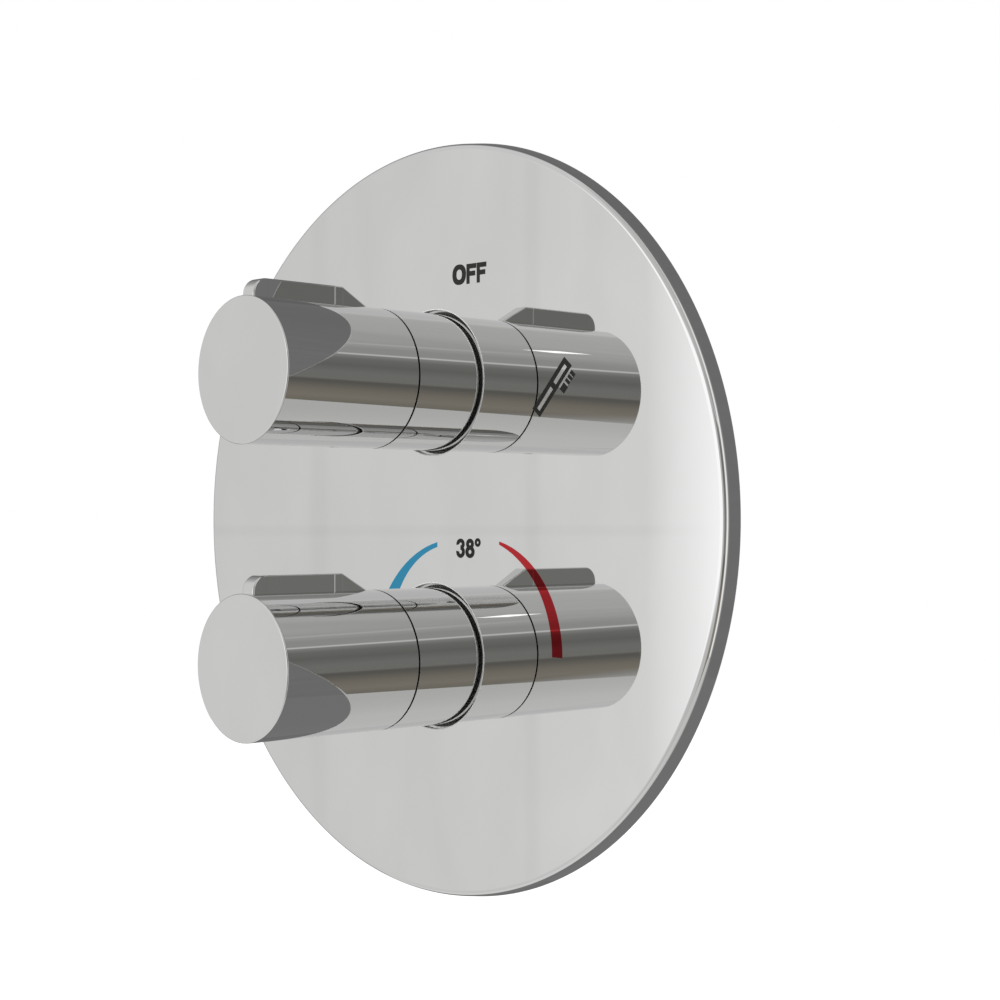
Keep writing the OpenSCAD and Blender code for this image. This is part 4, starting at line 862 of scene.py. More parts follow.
@dataclass
class Control(Assembly):
    """One control: the fixed sleeve and the turning handle with its fin."""

    name: str = "flow"
    body: Body = Body.FLOW
    height: float = 40.0
    radius: float = 20.0
    sleeve_back: float = -5.95
    sleeve_front: float = 28.5
    sleeve_bore: float = 18.2
    sleeve_rounds: tuple[float, float] = (0.2, 0.3)
    back: float = 29.15
    front: float = 75.0
    edge_round: float = 0.4
    joint_round: float = 0.03
    joint_inset: float = 0.1
    joint_sunk: float = 0.3
    joint_proud: float = 0.01
    wall: float = 2.2
    front_wall: float = 3.0
    hub_radius: float = 8.5
    hub_back: float = 34.0
    hub_bore: float = 6.6
    hub_bore_front: float = 52.2
    hub_core: float = 5.0
    hub_core_front: float = 70.0
    hub_round: float = 0.3
    hub_root_round: float = 1.0
    cup_round: float = 1.5
    cup_mouth_round: float = 0.25
    screw_at: float = 44.1
    screw_hole: float = 2.0
    screw_pocket: float = 7.5
    screw_edges: tuple[tuple[float, float], ...] = ((0.25, 0.0), (0.2, 0.0), (0.05, 0.1), (0.0, 0.25))
    window_half: float = 3.0
    window_cells: int = 10
    fin_w: float = 5.0
    fin_h: float = 4.9
    fin_setback: float = 2.1
    fin_round: float = 4.4
    fin_crest: float = 26.8
    fin_slope: float = 9.4
    fin_taper: float = 3.0
    fin_tail: float = 3.6
    fin_edge: float = 0.45
    fin_edge_lead: float = 0.05
    fin_bend_round: float = 0.7
    fin_tail_sunk: float = 0.05
    fin_root: float = 1.2
    bead_w: float = 0.2
    bead_h: float = 0.05
    bead_shares: tuple[float, ...] = (-1.2, -1.0, -0.7, -0.35, 0.0, 0.35, 0.7, 1.0, 1.2)
    columns: int = 192

    def sleeve(self) -> Surface:
        """The fixed sleeve, a tube with softened edges."""
        small, large = self.sleeve_rounds
        return lathe(rounded([
            (self.sleeve_back, self.sleeve_bore, small), (self.sleeve_front, self.sleeve_bore, large),
            (self.sleeve_front, self.radius, self.joint_round), (self.sleeve_back, self.radius, large)]),
            turns(self.columns))

    def joint_face(self, end: float, ahead: int, bore: float) -> Surface:
        """A near-black ring on an end face at the joint between sleeve and handle: painted shade that stands for the
        shadow in the gap.

        Args:
            end: depth of the end face.
            ahead: 1 for a face that looks out of the wall, -1 for one that looks back.
            bore: radius of the face's inner edge.

        Returns:
            The ring, which stands hardly proud of the face.
        """
        inner, outer = bore + self.joint_inset, self.radius - self.joint_round
        front, back = end + ahead * self.joint_proud, end - ahead * self.joint_sunk
        return lathe(np.array([(back, inner), (front, inner), (front, outer), (back, outer)]), turns(self.columns))

    def barrel(self) -> Surface:
        """The turning barrel: a cup with a hub inside and the hole for the grub screw below.

        The turned side is a grid, from which the cells round the hole are left out. A ring of cells leads from the
        left-out window's border to the hole's edge, where each border point keeps its direction from the hole's
        centre on the unrolled side. The hole then runs straight up to a flat floor.
        """
        inside, inner = self.front - self.front_wall, self.radius - self.wall
        window_back, window_front = self.screw_at - self.window_half, self.screw_at + self.window_half
        profile = rounded([
            (self.back, self.radius, self.joint_round), (window_back, self.radius, 0),
            (window_front, self.radius, 0), (self.front, self.radius, self.edge_round), (self.front, 0, 0),
            (self.hub_core_front, 0, 0),
            (self.hub_core_front, self.hub_core, 0), (self.hub_bore_front, self.hub_core, 0),
            (self.hub_bore_front, self.hub_bore, 0), (self.hub_back, self.hub_bore, self.hub_round),
            (self.hub_back, self.hub_radius, self.hub_round), (inside, self.hub_radius, self.hub_root_round),
            (inside, inner, self.cup_round), (self.back, inner, self.cup_mouth_round)])
        outside = np.isclose(profile[:, 1], self.radius)
        low = np.flatnonzero(outside & np.isclose(profile[:, 0], window_back))[0]
        high = np.flatnonzero(outside & np.isclose(profile[:, 0], window_front))[-1]
        between = np.linspace(profile[low], profile[high], self.window_cells + 1)
        whole = lathe(np.vstack([profile[:low], between, profile[high + 1:]]), turns(self.columns))

        middle, reach = 3 * self.columns // 4, self.window_cells // 2
        rows = np.arange(low, low + self.window_cells + 1)
        columns = np.arange(middle - reach, middle + reach + 1)
        row_of, column_of = np.divmod(whole.triangles, self.columns)
        left_out = ((row_of >= rows[0]) & (row_of <= rows[-1])
                    & (column_of >= columns[0]) & (column_of <= columns[-1])).all(1)
        border = np.concatenate([
            rows[0] * self.columns + columns[:-1], rows[:-1] * self.columns + columns[-1],
            rows[-1] * self.columns + columns[:0:-1], rows[:0:-1] * self.columns + columns[0]])
        edge = whole.points[border]
        across = (np.arctan2(edge[:, 2], edge[:, 0]) + math.pi / 2) * self.radius
        turn = np.arctan2(-edge[:, 1] - self.screw_at, across)
        rings = [edge]
        for beyond, drop in self.screw_edges:
            x = (self.screw_hole + beyond) * np.cos(turn)
            depth = self.screw_at + (self.screw_hole + beyond) * np.sin(turn)
            rings.append(np.column_stack([x, -depth, drop - np.sqrt(self.radius**2 - x**2)]))
        floor = rings[-1].copy()
        floor[:, 2] = -self.screw_pocket
        centre = np.broadcast_to([0.0, -self.screw_at, -self.screw_pocket], floor.shape)
        hole = Surface.grid(np.stack([*rings, floor, centre]), wrap_columns=True)
        return Surface.joined([Surface(whole.points, whole.triangles[~left_out]), hole])

    def fin(self) -> Surface:
        """The fin on the barrel.

        Its side view is an outline with a round front corner and a slope behind. Across the outline runs a section
        with rounded edges: at angle a the edge point lies w - r + r cos a from the middle plane and r - r sin a
        inside the outline, where the half width w falls towards the tail. The sides go straight down to a foot that
        is inside the barrel's wall. Where the taper begins, a small bead stands out on both sides: at distance d
        from its middle it adds h (1 - (d / w)^2) to the half width.
        """
        front = self.front - self.fin_setback
        crest = self.radius + self.fin_h
        bend = front - self.fin_round - self.fin_crest
        tail = bend - self.fin_slope
        crease = bend + self.fin_taper
        foot = self.radius - self.fin_root
        path = rounded([
            (front, foot, 0), (front, crest, self.fin_round),
            *((crease - share * self.bead_w, crest, 0) for share in self.bead_shares),
            (bend, crest, self.fin_bend_round), (tail, self.radius - self.fin_tail_sunk, 0), (tail, foot, 0)],
            steps=10, lead=0.03)
        path = path[np.r_[True, np.linalg.norm(np.diff(path, axis=0), axis=1) > NEAR]]
        ahead = unit(np.gradient(path, axis=0))
        ahead[0], ahead[-1] = unit(path[1] - path[0]), unit(path[-1] - path[-2])
        inward = np.column_stack([-ahead[:, 1], ahead[:, 0]])
        half = np.interp(path[:, 0], [tail, crease], [self.fin_tail / 2, self.fin_w / 2])[:, None]
        half += self.bead_h * np.maximum(1 - ((path[:, :1] - crease) / self.bead_w) ** 2, 0)
        turn, lead = np.linspace(0, math.pi / 2, 6), self.fin_edge + self.fin_edge_lead
        out = np.concatenate([[0.0], self.fin_edge * (1 - np.cos(turn)), [lead]])
        inset = np.concatenate([[lead], self.fin_edge * (1 - np.sin(turn)), [0.0]])
        inset = np.concatenate([inset, inset[::-1]])
        depth = path[:, :1] + inward[:, :1] * inset
        high = np.maximum(path[:, 1:] + inward[:, 1:] * inset, foot)
        low = np.full_like(half, foot)
        x = np.hstack([half, half - out, -(half - out)[:, ::-1], -half])
        depth = np.hstack([depth[:, :1], depth, depth[:, -1:]])
        return Surface.tube(np.stack([x, -depth, np.hstack([low, high, low])], axis=-1))

    def build(self) -> None:
        """Makes the sleeve, the barrel, the fin and, at the joint, near-black rings of painted shade for the gap's
        shadow.
        """
        front_shade = self.joint_face(self.sleeve_front, 1, self.sleeve_bore)
        back_shade = self.joint_face(self.back, -1, self.radius - self.wall)
        for part, shape, body, finish, node in (
                ("sleeve_tube", self.sleeve(), Body.VALVE, CHROME, "sleeve"),
                ("handle_barrel", self.barrel(), self.body, CHROME, "handle"),
                ("handle_fin", self.fin(), self.body, CHROME, "handle"),
                # Near-black rings at the joint: painted shade for the shadow in the gap between sleeve and handle.
                ("sleeve_joint_shade", front_shade, Body.VALVE, JOINT_PAINTED_SHADE, "sleeve"),
                ("handle_joint_shade", back_shade, self.body, JOINT_PAINTED_SHADE, "handle")):
            self.add(shape.raised(self.height), f"{self.name}_{part}", body, Slot.CHROME, finish,
                     [f"{self.name}_{node}"])


@dataclass(frozen=True)
class Circle:
    """A circle on the plate."""

    x: float
    height: float
    radius: float

    def between(self, side: int, tip: float, end: float, count: int) -> Array:
        """Points from where the circle passes a given x above its centre down to where it is at a given height.

        The first angle is arccos((tip - x) / radius). The last is arcsin((end - height) / radius), taken on the
        right-hand side of the circle or, for side -1, on the left-hand one.
        """
        start = math.acos((tip - self.x) / self.radius)
        last = math.asin((end - self.height) / self.radius)
        angles = np.linspace(start, last if side > 0 else math.pi - last, count)
        return np.column_stack([self.x + self.radius * np.cos(angles), self.height + self.radius * np.sin(angles)])


@dataclass(frozen=True)
class Bow:
    """A ring, or part of one, between two superellipses |x/a|^p + |z/b|^p = 1, the inner one a stroke smaller.

    Its stroke has one width at the sides and one at the top and foot. Its span is the first and last angle in
    degrees, or None for the whole ring.
    """

    x: float
    height: float
    half_w: float
    half_h: float
    stroke: tuple[float, float]
    span: tuple[float, float] | None = None
    power: float = 2.0

    def edges(self) -> tuple[Array, Array]:
        """The (x, height) points of the outer and the inner edge."""
        angles = turns(RING_POINTS) if self.span is None else np.radians(np.linspace(*self.span, BOW_POINTS))
        shape = np.stack([np.cos(angles), np.sin(angles)], axis=1)
        shape = np.sign(shape) * np.abs(shape) ** (2 / self.power)
        size, place = np.array([self.half_w, self.half_h]), np.array([self.x, self.height])
        return place + shape * size, place + shape * (size - self.stroke)


@dataclass(frozen=True)
class Cells:
    """A drawing on a grid: x of the lines between its columns, heights of those between its rows, filled cells."""

    across: tuple[float, ...]
    up: tuple[float, ...]
    filled: tuple[str, ...] = ("#",)


@dataclass
class PrintedMarks(Assembly):
    """Marks printed on the plate: OFF and a handset beside the flow side, 38 degrees and two arcs over the other.

    The handset is drawn upright, its width to the right and its length up from a corner, and then slanted.
    """

    depth: float = 5.5
    ink: float = 0.05
    sunk: float = 0.03
    layer_share: float = 0.15
    letter_o: Bow = Bow(11.1, 70.625, 2.85, 2.97, (1.7, 1.5), power=2.3)
    letters_f: tuple[Cells, ...] = tuple(
        Cells((left, left + 1.32, bar, arm), (67.65, 69.855, 71.275, 71.98, 73.4), ("#..", "##.", "#..", "###"))
        for left, bar, arm in ((14.15, 17.8, 18.25), (18.4, 21.95, 22.4)))
    digits: tuple[Bow, ...] = (
        Bow(11.7, -7.17, 1.74, 1.57, (1.25, 1.15), (192, -92)),
        Bow(11.7, -9.42, 1.82, 1.78, (1.25, 1.2), (92, -190)),
        Bow(15.65, -7.17, 1.62, 1.57, (1.22, 1.2)), Bow(15.65, -9.42, 1.92, 1.78, (1.32, 1.2)),
        Bow(18.85, -6.7, 1.22, 1.26, (0.88, 0.9)))
    hot_edges: tuple[Circle, Circle] = (Circle(20.07, -37.64, 32.2), Circle(16.13, -37.38, 32.23))
    cold_edges: tuple[Circle, Circle] = (Circle(9.73, -42.05, 36.2), Circle(8.21, -33.67, 26.3))
    hot_tip: float = 27.6
    cold_tip: float = 1.8
    arc_end: float = -38.0
    clear: Circle = Circle(0.0, -40.0, 22.2)
    handset_corner: tuple[float, float] = (40.81, 30.71)
    handset_slant: float = math.radians(48.2)
    handset: tuple[Cells, ...] = (
        Cells((0, 1.38, 2.6, 3.82), (0, 1.27, 9.0, 10.6, 16.9, 18.3), ("###", "#.#", "###", "#.#", "###")),
        Cells((4.5, 6.65), (10.65, 13.0)), Cells((4.5, 6.4), (13.6, 14.6)), Cells((4.5, 6.45), (14.95, 16.0)),
        Cells((4.5, 6.5), (16.25, 17.4)))
    handset_ground: Cells = Cells((0.3, 3.5, 6.2), (0.3, 10.9, 17.1, 18.0), ("#.", "##", "#."))
    ground_share: float = 0.4

    def edge(self, points: Array, layer: int = 0) -> Array:
        """Adds the ink's foot and top depths to (x, height) points, a later layer a little higher than the last."""
        ones = np.ones((len(points), 1))
        top = self.depth + self.ink * (1 + self.layer_share * layer)
        return np.hstack([points, ones * (self.depth - self.sunk), ones * top])

    def bow(self, bow: Bow, layer: int = 0) -> Surface:
        """Ink on a ring or part of one."""
        outer, inner = bow.edges()
        return band(self.edge(outer, layer), self.edge(inner, layer), closed=bow.span is None)

    def cells(self, drawing: Cells, share: float = 1.0) -> Surface:
        """Ink on the filled cells of a grid, as high as a share of the ink's thickness."""
        foot, top = self.depth - self.sunk, self.depth + self.ink * share
        return tiles(drawing.across, drawing.up, drawing.filled, foot, top)

    def arc(self, side: int, edges: tuple[Circle, Circle], tip: float) -> Surface:
        """A crescent that widens from a blunt tip at the top to a flat end beside the handle.

        Both edges are parts of circles. A point that would come too near to the opening moves straight away from
        the opening's centre to the clear distance.

        Args:
            side: 1 for the right-hand crescent, -1 for the left-hand one.
            edges: circles of the outer and the inner edge.
            tip: x of the tip.

        Returns:
            The crescent's patch.
        """
        middle = np.array([self.clear.x, self.clear.height])
        walked = []
        for circle in edges:
            points = circle.between(side, tip, self.arc_end, RING_POINTS)
            far = np.linalg.norm(points - middle, axis=1, keepdims=True)
            walked.append(self.edge(middle + (points - middle) * np.maximum(far, self.clear.radius) / far))
        return band(*walked)

    def slanted(self, surface: Surface) -> Surface:
        """Lays a part of the handset's upright drawing in its place on the plate."""
        sine, cosine = math.sin(self.handset_slant), math.cos(self.handset_slant)
        return surface.slanted(self.handset_corner, np.array([sine, -cosine]), np.array([cosine, sine]))

    def build(self) -> None:
        """Makes the marks, which polished metal doesn't mirror in the photograph."""
        off = Surface.joined([self.bow(self.letter_o), *map(self.cells, self.letters_f)])
        degrees = Surface.joined([self.bow(digit, layer) for layer, digit in enumerate(self.digits)])
        handset = self.slanted(Surface.joined([self.cells(drawing) for drawing in self.handset]))
        ground = self.slanted(self.cells(self.handset_ground, self.ground_share))
        for name, shape, finish in (
                ("mark_off", off, BLACK_INK), ("mark_handset", handset, BLACK_INK),
                ("mark_handset_ground", ground, PALE_INK), ("mark_38_degrees", degrees, BLACK_INK),
                ("mark_hot_arc", self.arc(1, self.hot_edges, self.hot_tip), RED_INK),
                ("mark_cold_arc", self.arc(-1, self.cold_edges, self.cold_tip), BLUE_INK)):
            self.add(shape, name, Body.VALVE, finish=finish).visible_glossy = False


@dataclass(frozen=True)
class Coil:
    """A compression spring in the place of a CAD node, with its end turns wound close."""

    node: str
    axis: int
    wire: float
    turns: float
    closed_turns: float = 0.9

    def box(self) -> Array:
        """Lowest and highest corner of the node's box, in millimetres."""
        return np.array(corners(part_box(self.node))) / MM

    def along(self, share: float) -> Array:
        """The point of the spring's axis at a share of its length, in metres."""
        low, high = self.box()
        place = (low + high) / 2
        place[self.axis] = low[self.axis] + share * (high[self.axis] - low[self.axis])
        return place * MM

    def wound(self, start: float = 0.0, end: float = 1.0, rings: int = 48, sides: int = 14) -> Surface:
        """The wire between two shares of its winding.

        At winding angle a and section angle b a point lies r + w cos b from the axis and rise(a) + w sin b along
        it. The rise grows by a wire's thickness a turn in the closed turns and evenly between them.

        Args:
            start: share of the winding where the wire begins.
            end: share where it ends.
            rings: sections in a turn.
            sides: corners of a section.

        Returns:
            The wire with a flat face at each end.
        """
        low, high = self.box()
        first, second = (side for side in range(3) if side != self.axis)
        mean = (high - low)[[first, second]].mean() / 2 - self.wire / 2
        centre = (low + high) / 2
        turn = np.linspace(start, end, round(self.turns * rings * (end - start)) + 1)[:, None] * self.turns
        climb, shut = high[self.axis] - low[self.axis] - self.wire, self.closed_turns
        rise = np.interp(turn, [0, shut, self.turns - shut, self.turns],
                         [0, shut * self.wire, climb - shut * self.wire, climb])
        corner = turns(sides)[None, :]
        reach = mean + self.wire / 2 * np.cos(corner)
        angle = 2 * math.pi * turn
        points = np.empty((len(turn), sides, 3))
        points[..., first] = centre[first] + reach * np.cos(angle)
        points[..., second] = centre[second] + reach * np.sin(angle)
        points[..., self.axis] = low[self.axis] + self.wire / 2 + rise + self.wire / 2 * np.sin(corner)
        return Surface.tube(points)


@dataclass
class Springs(Assembly):
    """The springs that a moving piece presses, each wound in the place of its CAD node."""

    middle: float = 0.5
    lift: float = 2.0
    back: Coil = Coil("return_spring", 1, 1.3, 5)
    checks: tuple[tuple[Coil, str, int], ...] = (
        (Coil("hot_check_spring", 0, 0.6, 5), "hot_check_lift", 1),
        (Coil("cold_check_spring", 0, 0.6, 5), "cold_check_lift", -1))

    def return_spring(self) -> None:
        """Makes the return spring in two halves, as two slides move its free end.

        The half at the seat runs from the middle of the winding to the seat, and the other one from the free end to
        the middle; both are left on no body.
        """
        near, middle, far = (self.back.along(share) for share in (1.0, self.middle, 0.0))
        for name, span, bodies, ends in (
                ("return_spring_seat_half", (self.middle, 1.0), (Body.VALVE, Body.DRIVE), (near, middle)),
                ("return_spring_free_half", (0.0, self.middle), (Body.DRIVE, Body.MIXING), (middle, far))):
            piece = self.add(self.back.wound(*span), name, None, Slot.STAINLESS, replaces=[self.back.node])
            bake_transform(piece)

    def build(self) -> None:
        """Makes the return spring and the springs of the two check valves."""
        self.return_spring()
        for coil, joint, ahead in self.checks:
            piece = self.add(coil.wound(), f"{coil.node}_wire", Body.VALVE, Slot.STAINLESS, replaces=[coil.node])
            low, high = coil.box()
            anchor = coil.along(1.0 if ahead > 0 else 0.0)
            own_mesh(piece)


@dataclass
class Works:
    """The CAD nodes that stay: each gets the finish of its slot, with lathe rings along its own axis."""

    shop: Paintshop
    nodes: dict[str, bpy.types.Object]
    record: dict
    rings_along_x: tuple[str, ...] = ("hot_inlet_union", "cold_inlet_union", "handset_outlet_union")
    rings_along_z: tuple[str, ...] = ("overhead_outlet_union",)

    def finish(self, node: str, slot: Slot) -> Finish:
        """The slot's finish, turned to the node's axis where a lathe made it."""
        finish = FINISHES[slot]
        if slot is Slot.TURNED_BRASS and node in self.rings_along_x + self.rings_along_z:
            axis = Axis.X if node in self.rings_along_x else Axis.Z
            return replace(finish, name=f"{finish.name}_{axis.name.lower()}", axis=axis)
        return finish

    def build(self) -> None:
        """Puts the finishes on."""
        for row in self.record["subparts"]:
            slot = Slot(row["material_slot"])
            self.shop.coat(self.nodes[row["node"]], self.finish(row["node"], slot))
        LOG.info("finishes on %d nodes", len(self.record["subparts"]))


# Studio


@dataclass
class Studio:
    """Camera, lamps, floor and the surroundings that the polished metal shows.

    The tones of the walls are given by azimuth and those of the dark card by elevation, in degrees. A span has the
    angles between which a mask rises and those between which it falls. Each tile joint has its place and width.
    """

    lens: float = 69.433
    sensor: float = 36.0
    clip: tuple[float, float] = (0.01, 50.0)
    eye: Place = (0.41678, -0.38694, -0.00042)
    yaw: float = 0.79504
    pitch: float = -0.01066
    floor_drop: float = 620.0
    floor_size: float = 9000.0
    floor_colour: Colour = (0.3, 0.3, 0.3)
    floor_glow: float = 0.92
    lamps: tuple[tuple[str, Place, float, float], ...] = (
        ("key_lamp", (-0.9, -1.6, 1.5), 1.4, 22.0), ("fill_lamp", (1.6, -1.1, 0.5), 1.6, 10.0))
    sky: Colour = (0.72, 0.72, 0.72)
    wall_tones: Stops = (
        (-180, (0.17, 0.17, 0.17)), (-120, (0.17, 0.17, 0.17)), (-88, (0.42, 0.42, 0.42)),
        (-68, (0.71, 0.71, 0.705)), (-50, (0.735, 0.735, 0.73)), (-45, (0.76, 0.76, 0.755)),
        (-43, (0.79, 0.79, 0.785)), (-41, (0.82, 0.82, 0.815)), (-30, (0.79, 0.79, 0.785)),
        (-27, (0.65, 0.65, 0.645)), (-22, (0.61, 0.61, 0.605)), (0, (0.6, 0.6, 0.595)), (14, (0.59, 0.59, 0.58)),
        (24, (0.53, 0.53, 0.52)), (30, (0.5, 0.5, 0.49)), (40, (0.44, 0.44, 0.43)), (84, (0.4, 0.4, 0.39)),
        (87, (1.0, 1.0, 0.99)), (99, (1.0, 1.0, 0.99)), (101, (0.45, 0.45, 0.44)), (108, (0.27, 0.27, 0.27)),
        (116, (0.19, 0.19, 0.19)), (180, (0.17, 0.17, 0.17)))
    card_span: Span = (24.0, 34.0, 82.0, 86.0)
    card_tones: Stops = (
        (-34.4, (0.24, 0.225, 0.19)), (-28, (0.29, 0.265, 0.225)), (-20, (0.25, 0.23, 0.195)),
        (-11, (0.15, 0.145, 0.13)), (-9, (0.16, 0.155, 0.14)), (-7.5, (0.24, 0.237, 0.225)),
        (1, (0.24, 0.24, 0.23)), (10, (0.187, 0.187, 0.178)), (18, (0.225, 0.225, 0.215)),
        (22.6, (0.34, 0.34, 0.33)), (23.6, (0.76, 0.76, 0.74)), (24.3, (0.76, 0.76, 0.74)),
        (25.2, (0.42, 0.42, 0.41)), (31, (0.42, 0.42, 0.41)), (35, (0.5, 0.5, 0.49)),
        (36, (0.62, 0.62, 0.6)), (37.4, (0.5, 0.5, 0.49)), (44, (0.58, 0.58, 0.57)))
    openings: tuple[tuple[float, Span, Span], ...] = (
        (0.69, (-56, -50, -34, -28), (-80, -79, -22, -12)), (0.72, (-60, -52, -33, -28), (14, 20, 70, 80)),
        (1.25, (-41.2, -38.6, -10, -6), (-9, -4, 14, 18)),
        (0.55, (150, 158, 181, 182), (-32, -24, 24, 32)), (0.55, (-182, -181, -158, -150), (-32, -24, 24, 32)))
    floor_line: tuple[float, float] = (-34.3, -34.7)
    floor_span: Span = (-112.0, -95.0, 95.0, 112.0)
    floor_turn: tuple[float, float] = (-5.0, 34.0)
    floor_tones: tuple[Colour, Colour, Colour] = ((0.2, 0.2, 0.2), (0.765, 0.765, 0.755), (0.66, 0.66, 0.65))
    cloud: float = 0.14
    cloud_scales: tuple[float, float] = (0.55, 0.16)
    cloud_bend: float = 0.6
    tile_joints: tuple[tuple[float, float], ...] = ((-50.9, 0.35), (-44.6, 0.3))
    level_joints: tuple[tuple[float, float], ...] = ((-0.3, 0.22),)
    joint_shade: float = 0.965
    lamp_card_centre: Place = (475.0, -1238.0, 1116.0)
    lamp_card_size: tuple[float, float] = (82.0, 46.0)
    lamp_card_tone: float = 1.9

    @staticmethod
    def hang(name: str, data: bpy.types.ID, place: Place, right: Array, back: Array) -> bpy.types.Object:
        """Puts a camera or a lamp in the scene.

        Args:
            name: its name.
            data: the camera's or the lamp's settings.
            place: where it is, in metres.
            right: direction of its right side.
            back: direction away from what it faces.

        Returns:
            The linked object.
        """
        made = bpy.data.objects.new(name, data)
        matrix = np.eye(4)
        matrix[:3, :] = np.column_stack([right, np.cross(back, right), back, place])
        made.matrix_world = Matrix(matrix.tolist())
        bpy.context.scene.collection.objects.link(made)
        return made

    def camera(self) -> None:
        """Sets the camera: it looks along (-sin yaw, cos yaw, -sin pitch) with its right side level."""
        look = np.array([-math.sin(self.yaw) * math.cos(self.pitch), math.cos(self.yaw) * math.cos(self.pitch),
                         -math.sin(self.pitch)])
        data = bpy.data.cameras.new("photo_camera")
        data.lens, data.sensor_width = self.lens, self.sensor
        data.clip_start, data.clip_end = self.clip
        right = np.array([math.cos(self.yaw), math.sin(self.yaw), 0.0])
        bpy.context.scene.camera = self.hang("photo_camera", data, self.eye, right, -look)

    def lamp(self, name: str, place: Place, size: float, power: float) -> None:
        """Hangs a soft square lamp that faces the object, hidden from mirror reflections."""
        data = bpy.data.lights.new(name, "AREA")
        data.shape, data.size, data.energy = "SQUARE", size, power
        back = unit(np.array(place))
        self.hang(name, data, place, unit(np.cross(UP, back)), back).visible_glossy = False

    def shade(self, canvas: Canvas, azimuth: Socket, elevation: Socket) -> Socket:
        """A factor on the walls' tone: upright clouds, and the thin darker joints of large tiles."""
        stretched = canvas.node("ShaderNodeCombineXYZ", {
            0: canvas.math("MULTIPLY", azimuth, self.cloud_scales[0]),
            1: canvas.math("MULTIPLY", elevation, self.cloud_scales[1])}).outputs[0]
        noise = canvas.node("ShaderNodeTexNoise", {
            "Vector": stretched, "Scale": 1.0, "Detail": 3.0, "Distortion": self.cloud_bend}).outputs["Fac"]
        factor = canvas.math("MULTIPLY_ADD", canvas.math("SUBTRACT", noise, 0.5), self.cloud, 1.0)
        for value, joints in ((azimuth, self.tile_joints), (elevation, self.level_joints)):
            for place, width in joints:
                limits = [place + share * width for share in (-1, -1 / 3, 1 / 3, 1)]
                darker = canvas.math("MULTIPLY_ADD", canvas.window(value, limits), self.joint_shade - 1, 1.0)
                factor = canvas.math("MULTIPLY", factor, darker)
        return factor

    def surroundings(self) -> None:
        """Builds the world: white to the camera, plain to matt surfaces, and a studio with cards to polished ones.

        The direction's azimuth, counted from straight out of the wall to the right, and its elevation choose the
        tone: pale walls in front that darken to the right, a pale floor, a dark room behind, and to the right in
        front a dark warm card with bright gaps over it. Over the walls lie duller stretches, a bright window and a
        paler back, each given as its tone, the azimuths between which it comes and goes, and the same elevations.
        """
        world = bpy.data.worlds.new("studio")
        world.use_nodes = True
        bpy.context.scene.world = world
        canvas = Canvas(world.node_tree)
        backdrop = world.node_tree.nodes["Background"]
        split = canvas.node("ShaderNodeSeparateXYZ", {0: canvas.node("ShaderNodeTexCoord").outputs["Generated"]})
        x, y, z = split.outputs
        azimuth = canvas.math("DEGREES", canvas.math("ARCTAN2", x, canvas.math("MULTIPLY", y, -1.0)))
        elevation = canvas.math("DEGREES", canvas.math("ARCSINE", z))
        round_share = canvas.math("MULTIPLY_ADD", azimuth, 1 / 360, 0.5)
        high_share = canvas.math("MULTIPLY_ADD", elevation, 1 / 90, 0.5)
        walls = canvas.ramp(round_share, [((a + 180) / 360, c) for a, c in self.wall_tones])
        walls = canvas.node("ShaderNodeVectorMath", {
            0: walls, 3: self.shade(canvas, azimuth, elevation)}, operation="SCALE").outputs[0]
        cards = canvas.ramp(high_share, [(e / 90 + 0.5, c) for e, c in self.card_tones])
        walls = canvas.mix(canvas.window(azimuth, self.card_span), walls, cards)
        for tone, sides, ends in self.openings:
            lit = canvas.math("MINIMUM", canvas.window(azimuth, sides), canvas.window(elevation, ends))
            walls = canvas.mix(lit, walls, (tone, tone, tone))
        behind, left, right = self.floor_tones
        pale = canvas.mix(canvas.share(azimuth, *self.floor_turn), left, right)
        ground = canvas.mix(canvas.window(azimuth, self.floor_span), behind, pale)
        room = canvas.mix(canvas.share(elevation, *self.floor_line), walls, ground)
        ray = canvas.node("ShaderNodeLightPath")
        mirror = canvas.math("MAXIMUM", ray.outputs["Is Glossy Ray"], ray.outputs["Is Transmission Ray"])
        plain = canvas.mix(mirror, self.sky, room)
        canvas.put(backdrop.inputs["Color"], canvas.mix(ray.outputs["Is Camera Ray"], plain, WHITE))
        backdrop.inputs["Strength"].default_value = 1.0

    @staticmethod
    def bare(name: str) -> tuple[bpy.types.Material, Canvas, Socket]:
        """Starts a material without the usual shader: the material, a canvas on it and its surface's socket."""
        material = bpy.data.materials.new(name)
        material.use_nodes = True
        nodes = material.node_tree.nodes
        nodes.remove(nodes["Principled BSDF"])
        return material, Canvas(material.node_tree), nodes["Material Output"].inputs["Surface"]

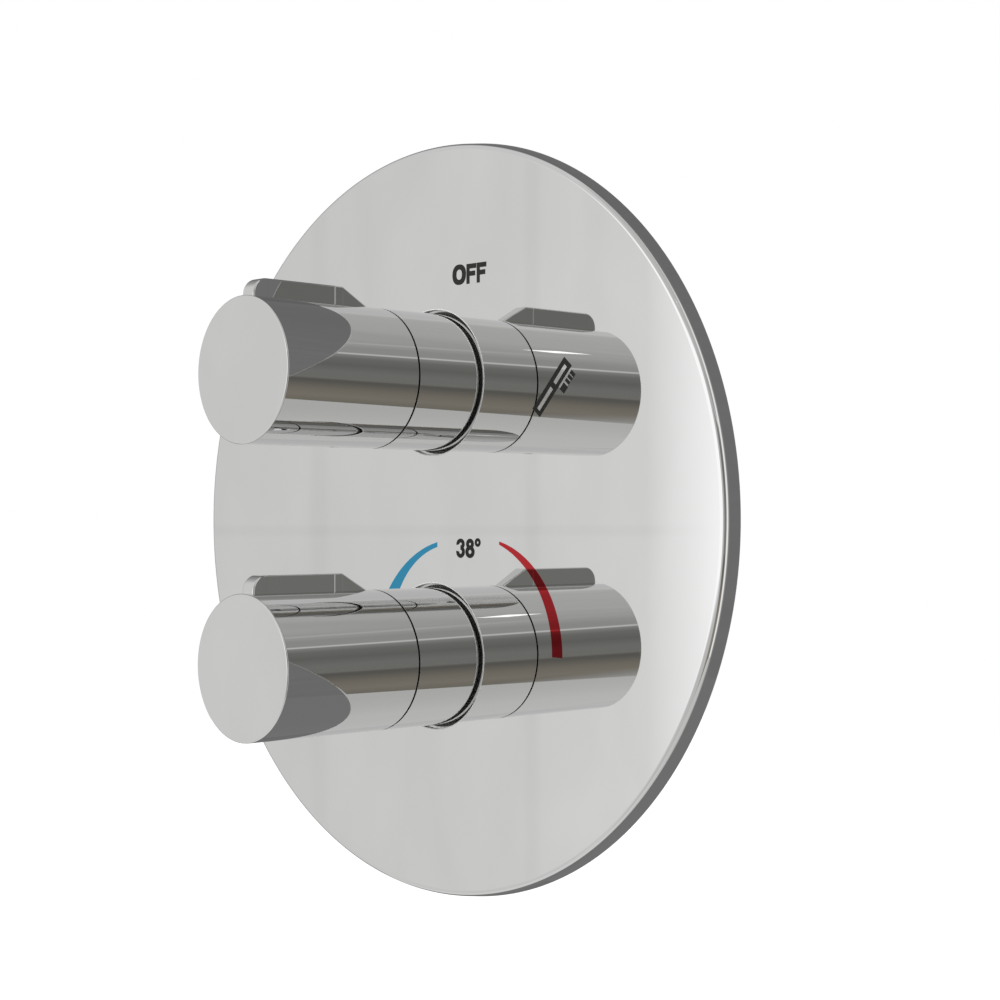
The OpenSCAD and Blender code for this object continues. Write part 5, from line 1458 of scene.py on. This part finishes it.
    def floor(self) -> None:
        """Lays a pale floor far below, white to the camera but for a shadow, unseen by polished metal."""
        steps = np.linspace(-self.floor_size / 2, self.floor_size / 2, 3)
        x, y = np.meshgrid(steps, steps)
        piece = Surface.grid(np.stack([x, y, np.full_like(x, -self.floor_drop)], axis=-1)).to_object("floor")
        material, canvas, surface = self.bare("pale_floor")
        ray = canvas.node("ShaderNodeLightPath")
        matt = canvas.node("ShaderNodeBsdfDiffuse", {"Color": self.floor_colour})
        strength = canvas.math("MULTIPLY", ray.outputs["Is Camera Ray"], self.floor_glow)
        glow = canvas.node("ShaderNodeEmission", {"Color": WHITE, "Strength": strength})
        both = canvas.node("ShaderNodeAddShader", {0: matt.outputs[0], 1: glow.outputs[0]})
        clear = canvas.node("ShaderNodeBsdfTransparent")
        shown = canvas.node("ShaderNodeMixShader", {
            0: ray.outputs["Is Glossy Ray"], 1: both.outputs[0], 2: clear.outputs[0]})
        canvas.put(surface, shown.outputs[0])
        piece.data.materials.append(material)

    def lamp_card(self) -> None:
        """Hangs a small bright card above on the right, which only polished metal shows."""
        centre = np.array(self.lamp_card_centre)
        side = unit(np.cross(UP, centre))
        up = unit(np.cross(centre, side))
        half_w, half_h = self.lamp_card_size[0] / 2, self.lamp_card_size[1] / 2
        rows = [[centre + i * half_w * side + j * half_h * up for i in (-1, 1)] for j in (-1, 1)]
        piece = Surface.grid(np.array(rows)).to_object("lamp_card")
        material, canvas, surface = self.bare("bright_card")
        glow = canvas.node("ShaderNodeEmission", {"Color": WHITE, "Strength": self.lamp_card_tone})
        canvas.put(surface, glow.outputs[0])
        piece.data.materials.append(material)
        piece.visible_camera = piece.visible_diffuse = piece.visible_transmission = piece.visible_shadow = False

    def build(self) -> None:
        """Sets up everything round the object."""
        self.camera()
        self.surroundings()
        self.floor()
        self.lamp_card()
        for lamp in self.lamps:
            self.lamp(*lamp)
        bpy.context.scene.view_settings.view_transform = "Standard"


def main() -> None:
    """Loads the frame and builds the sub-assemblies in order."""
    logging.basicConfig(level=logging.INFO, format="%(name)s: %(message)s")
    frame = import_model()
    shop = Paintshop()
    Works(shop, frame["nodes"], frame["record"]).build()
    Faceplate(shop).build()
    Control(shop, "flow", Body.FLOW, 40.0).build()
    Control(shop, "temp", Body.TEMPERATURE, -40.0).build()
    PrintedMarks(shop).build()
    Springs(shop).build()
    Studio().build()


if __name__ == "__main__":
    main()
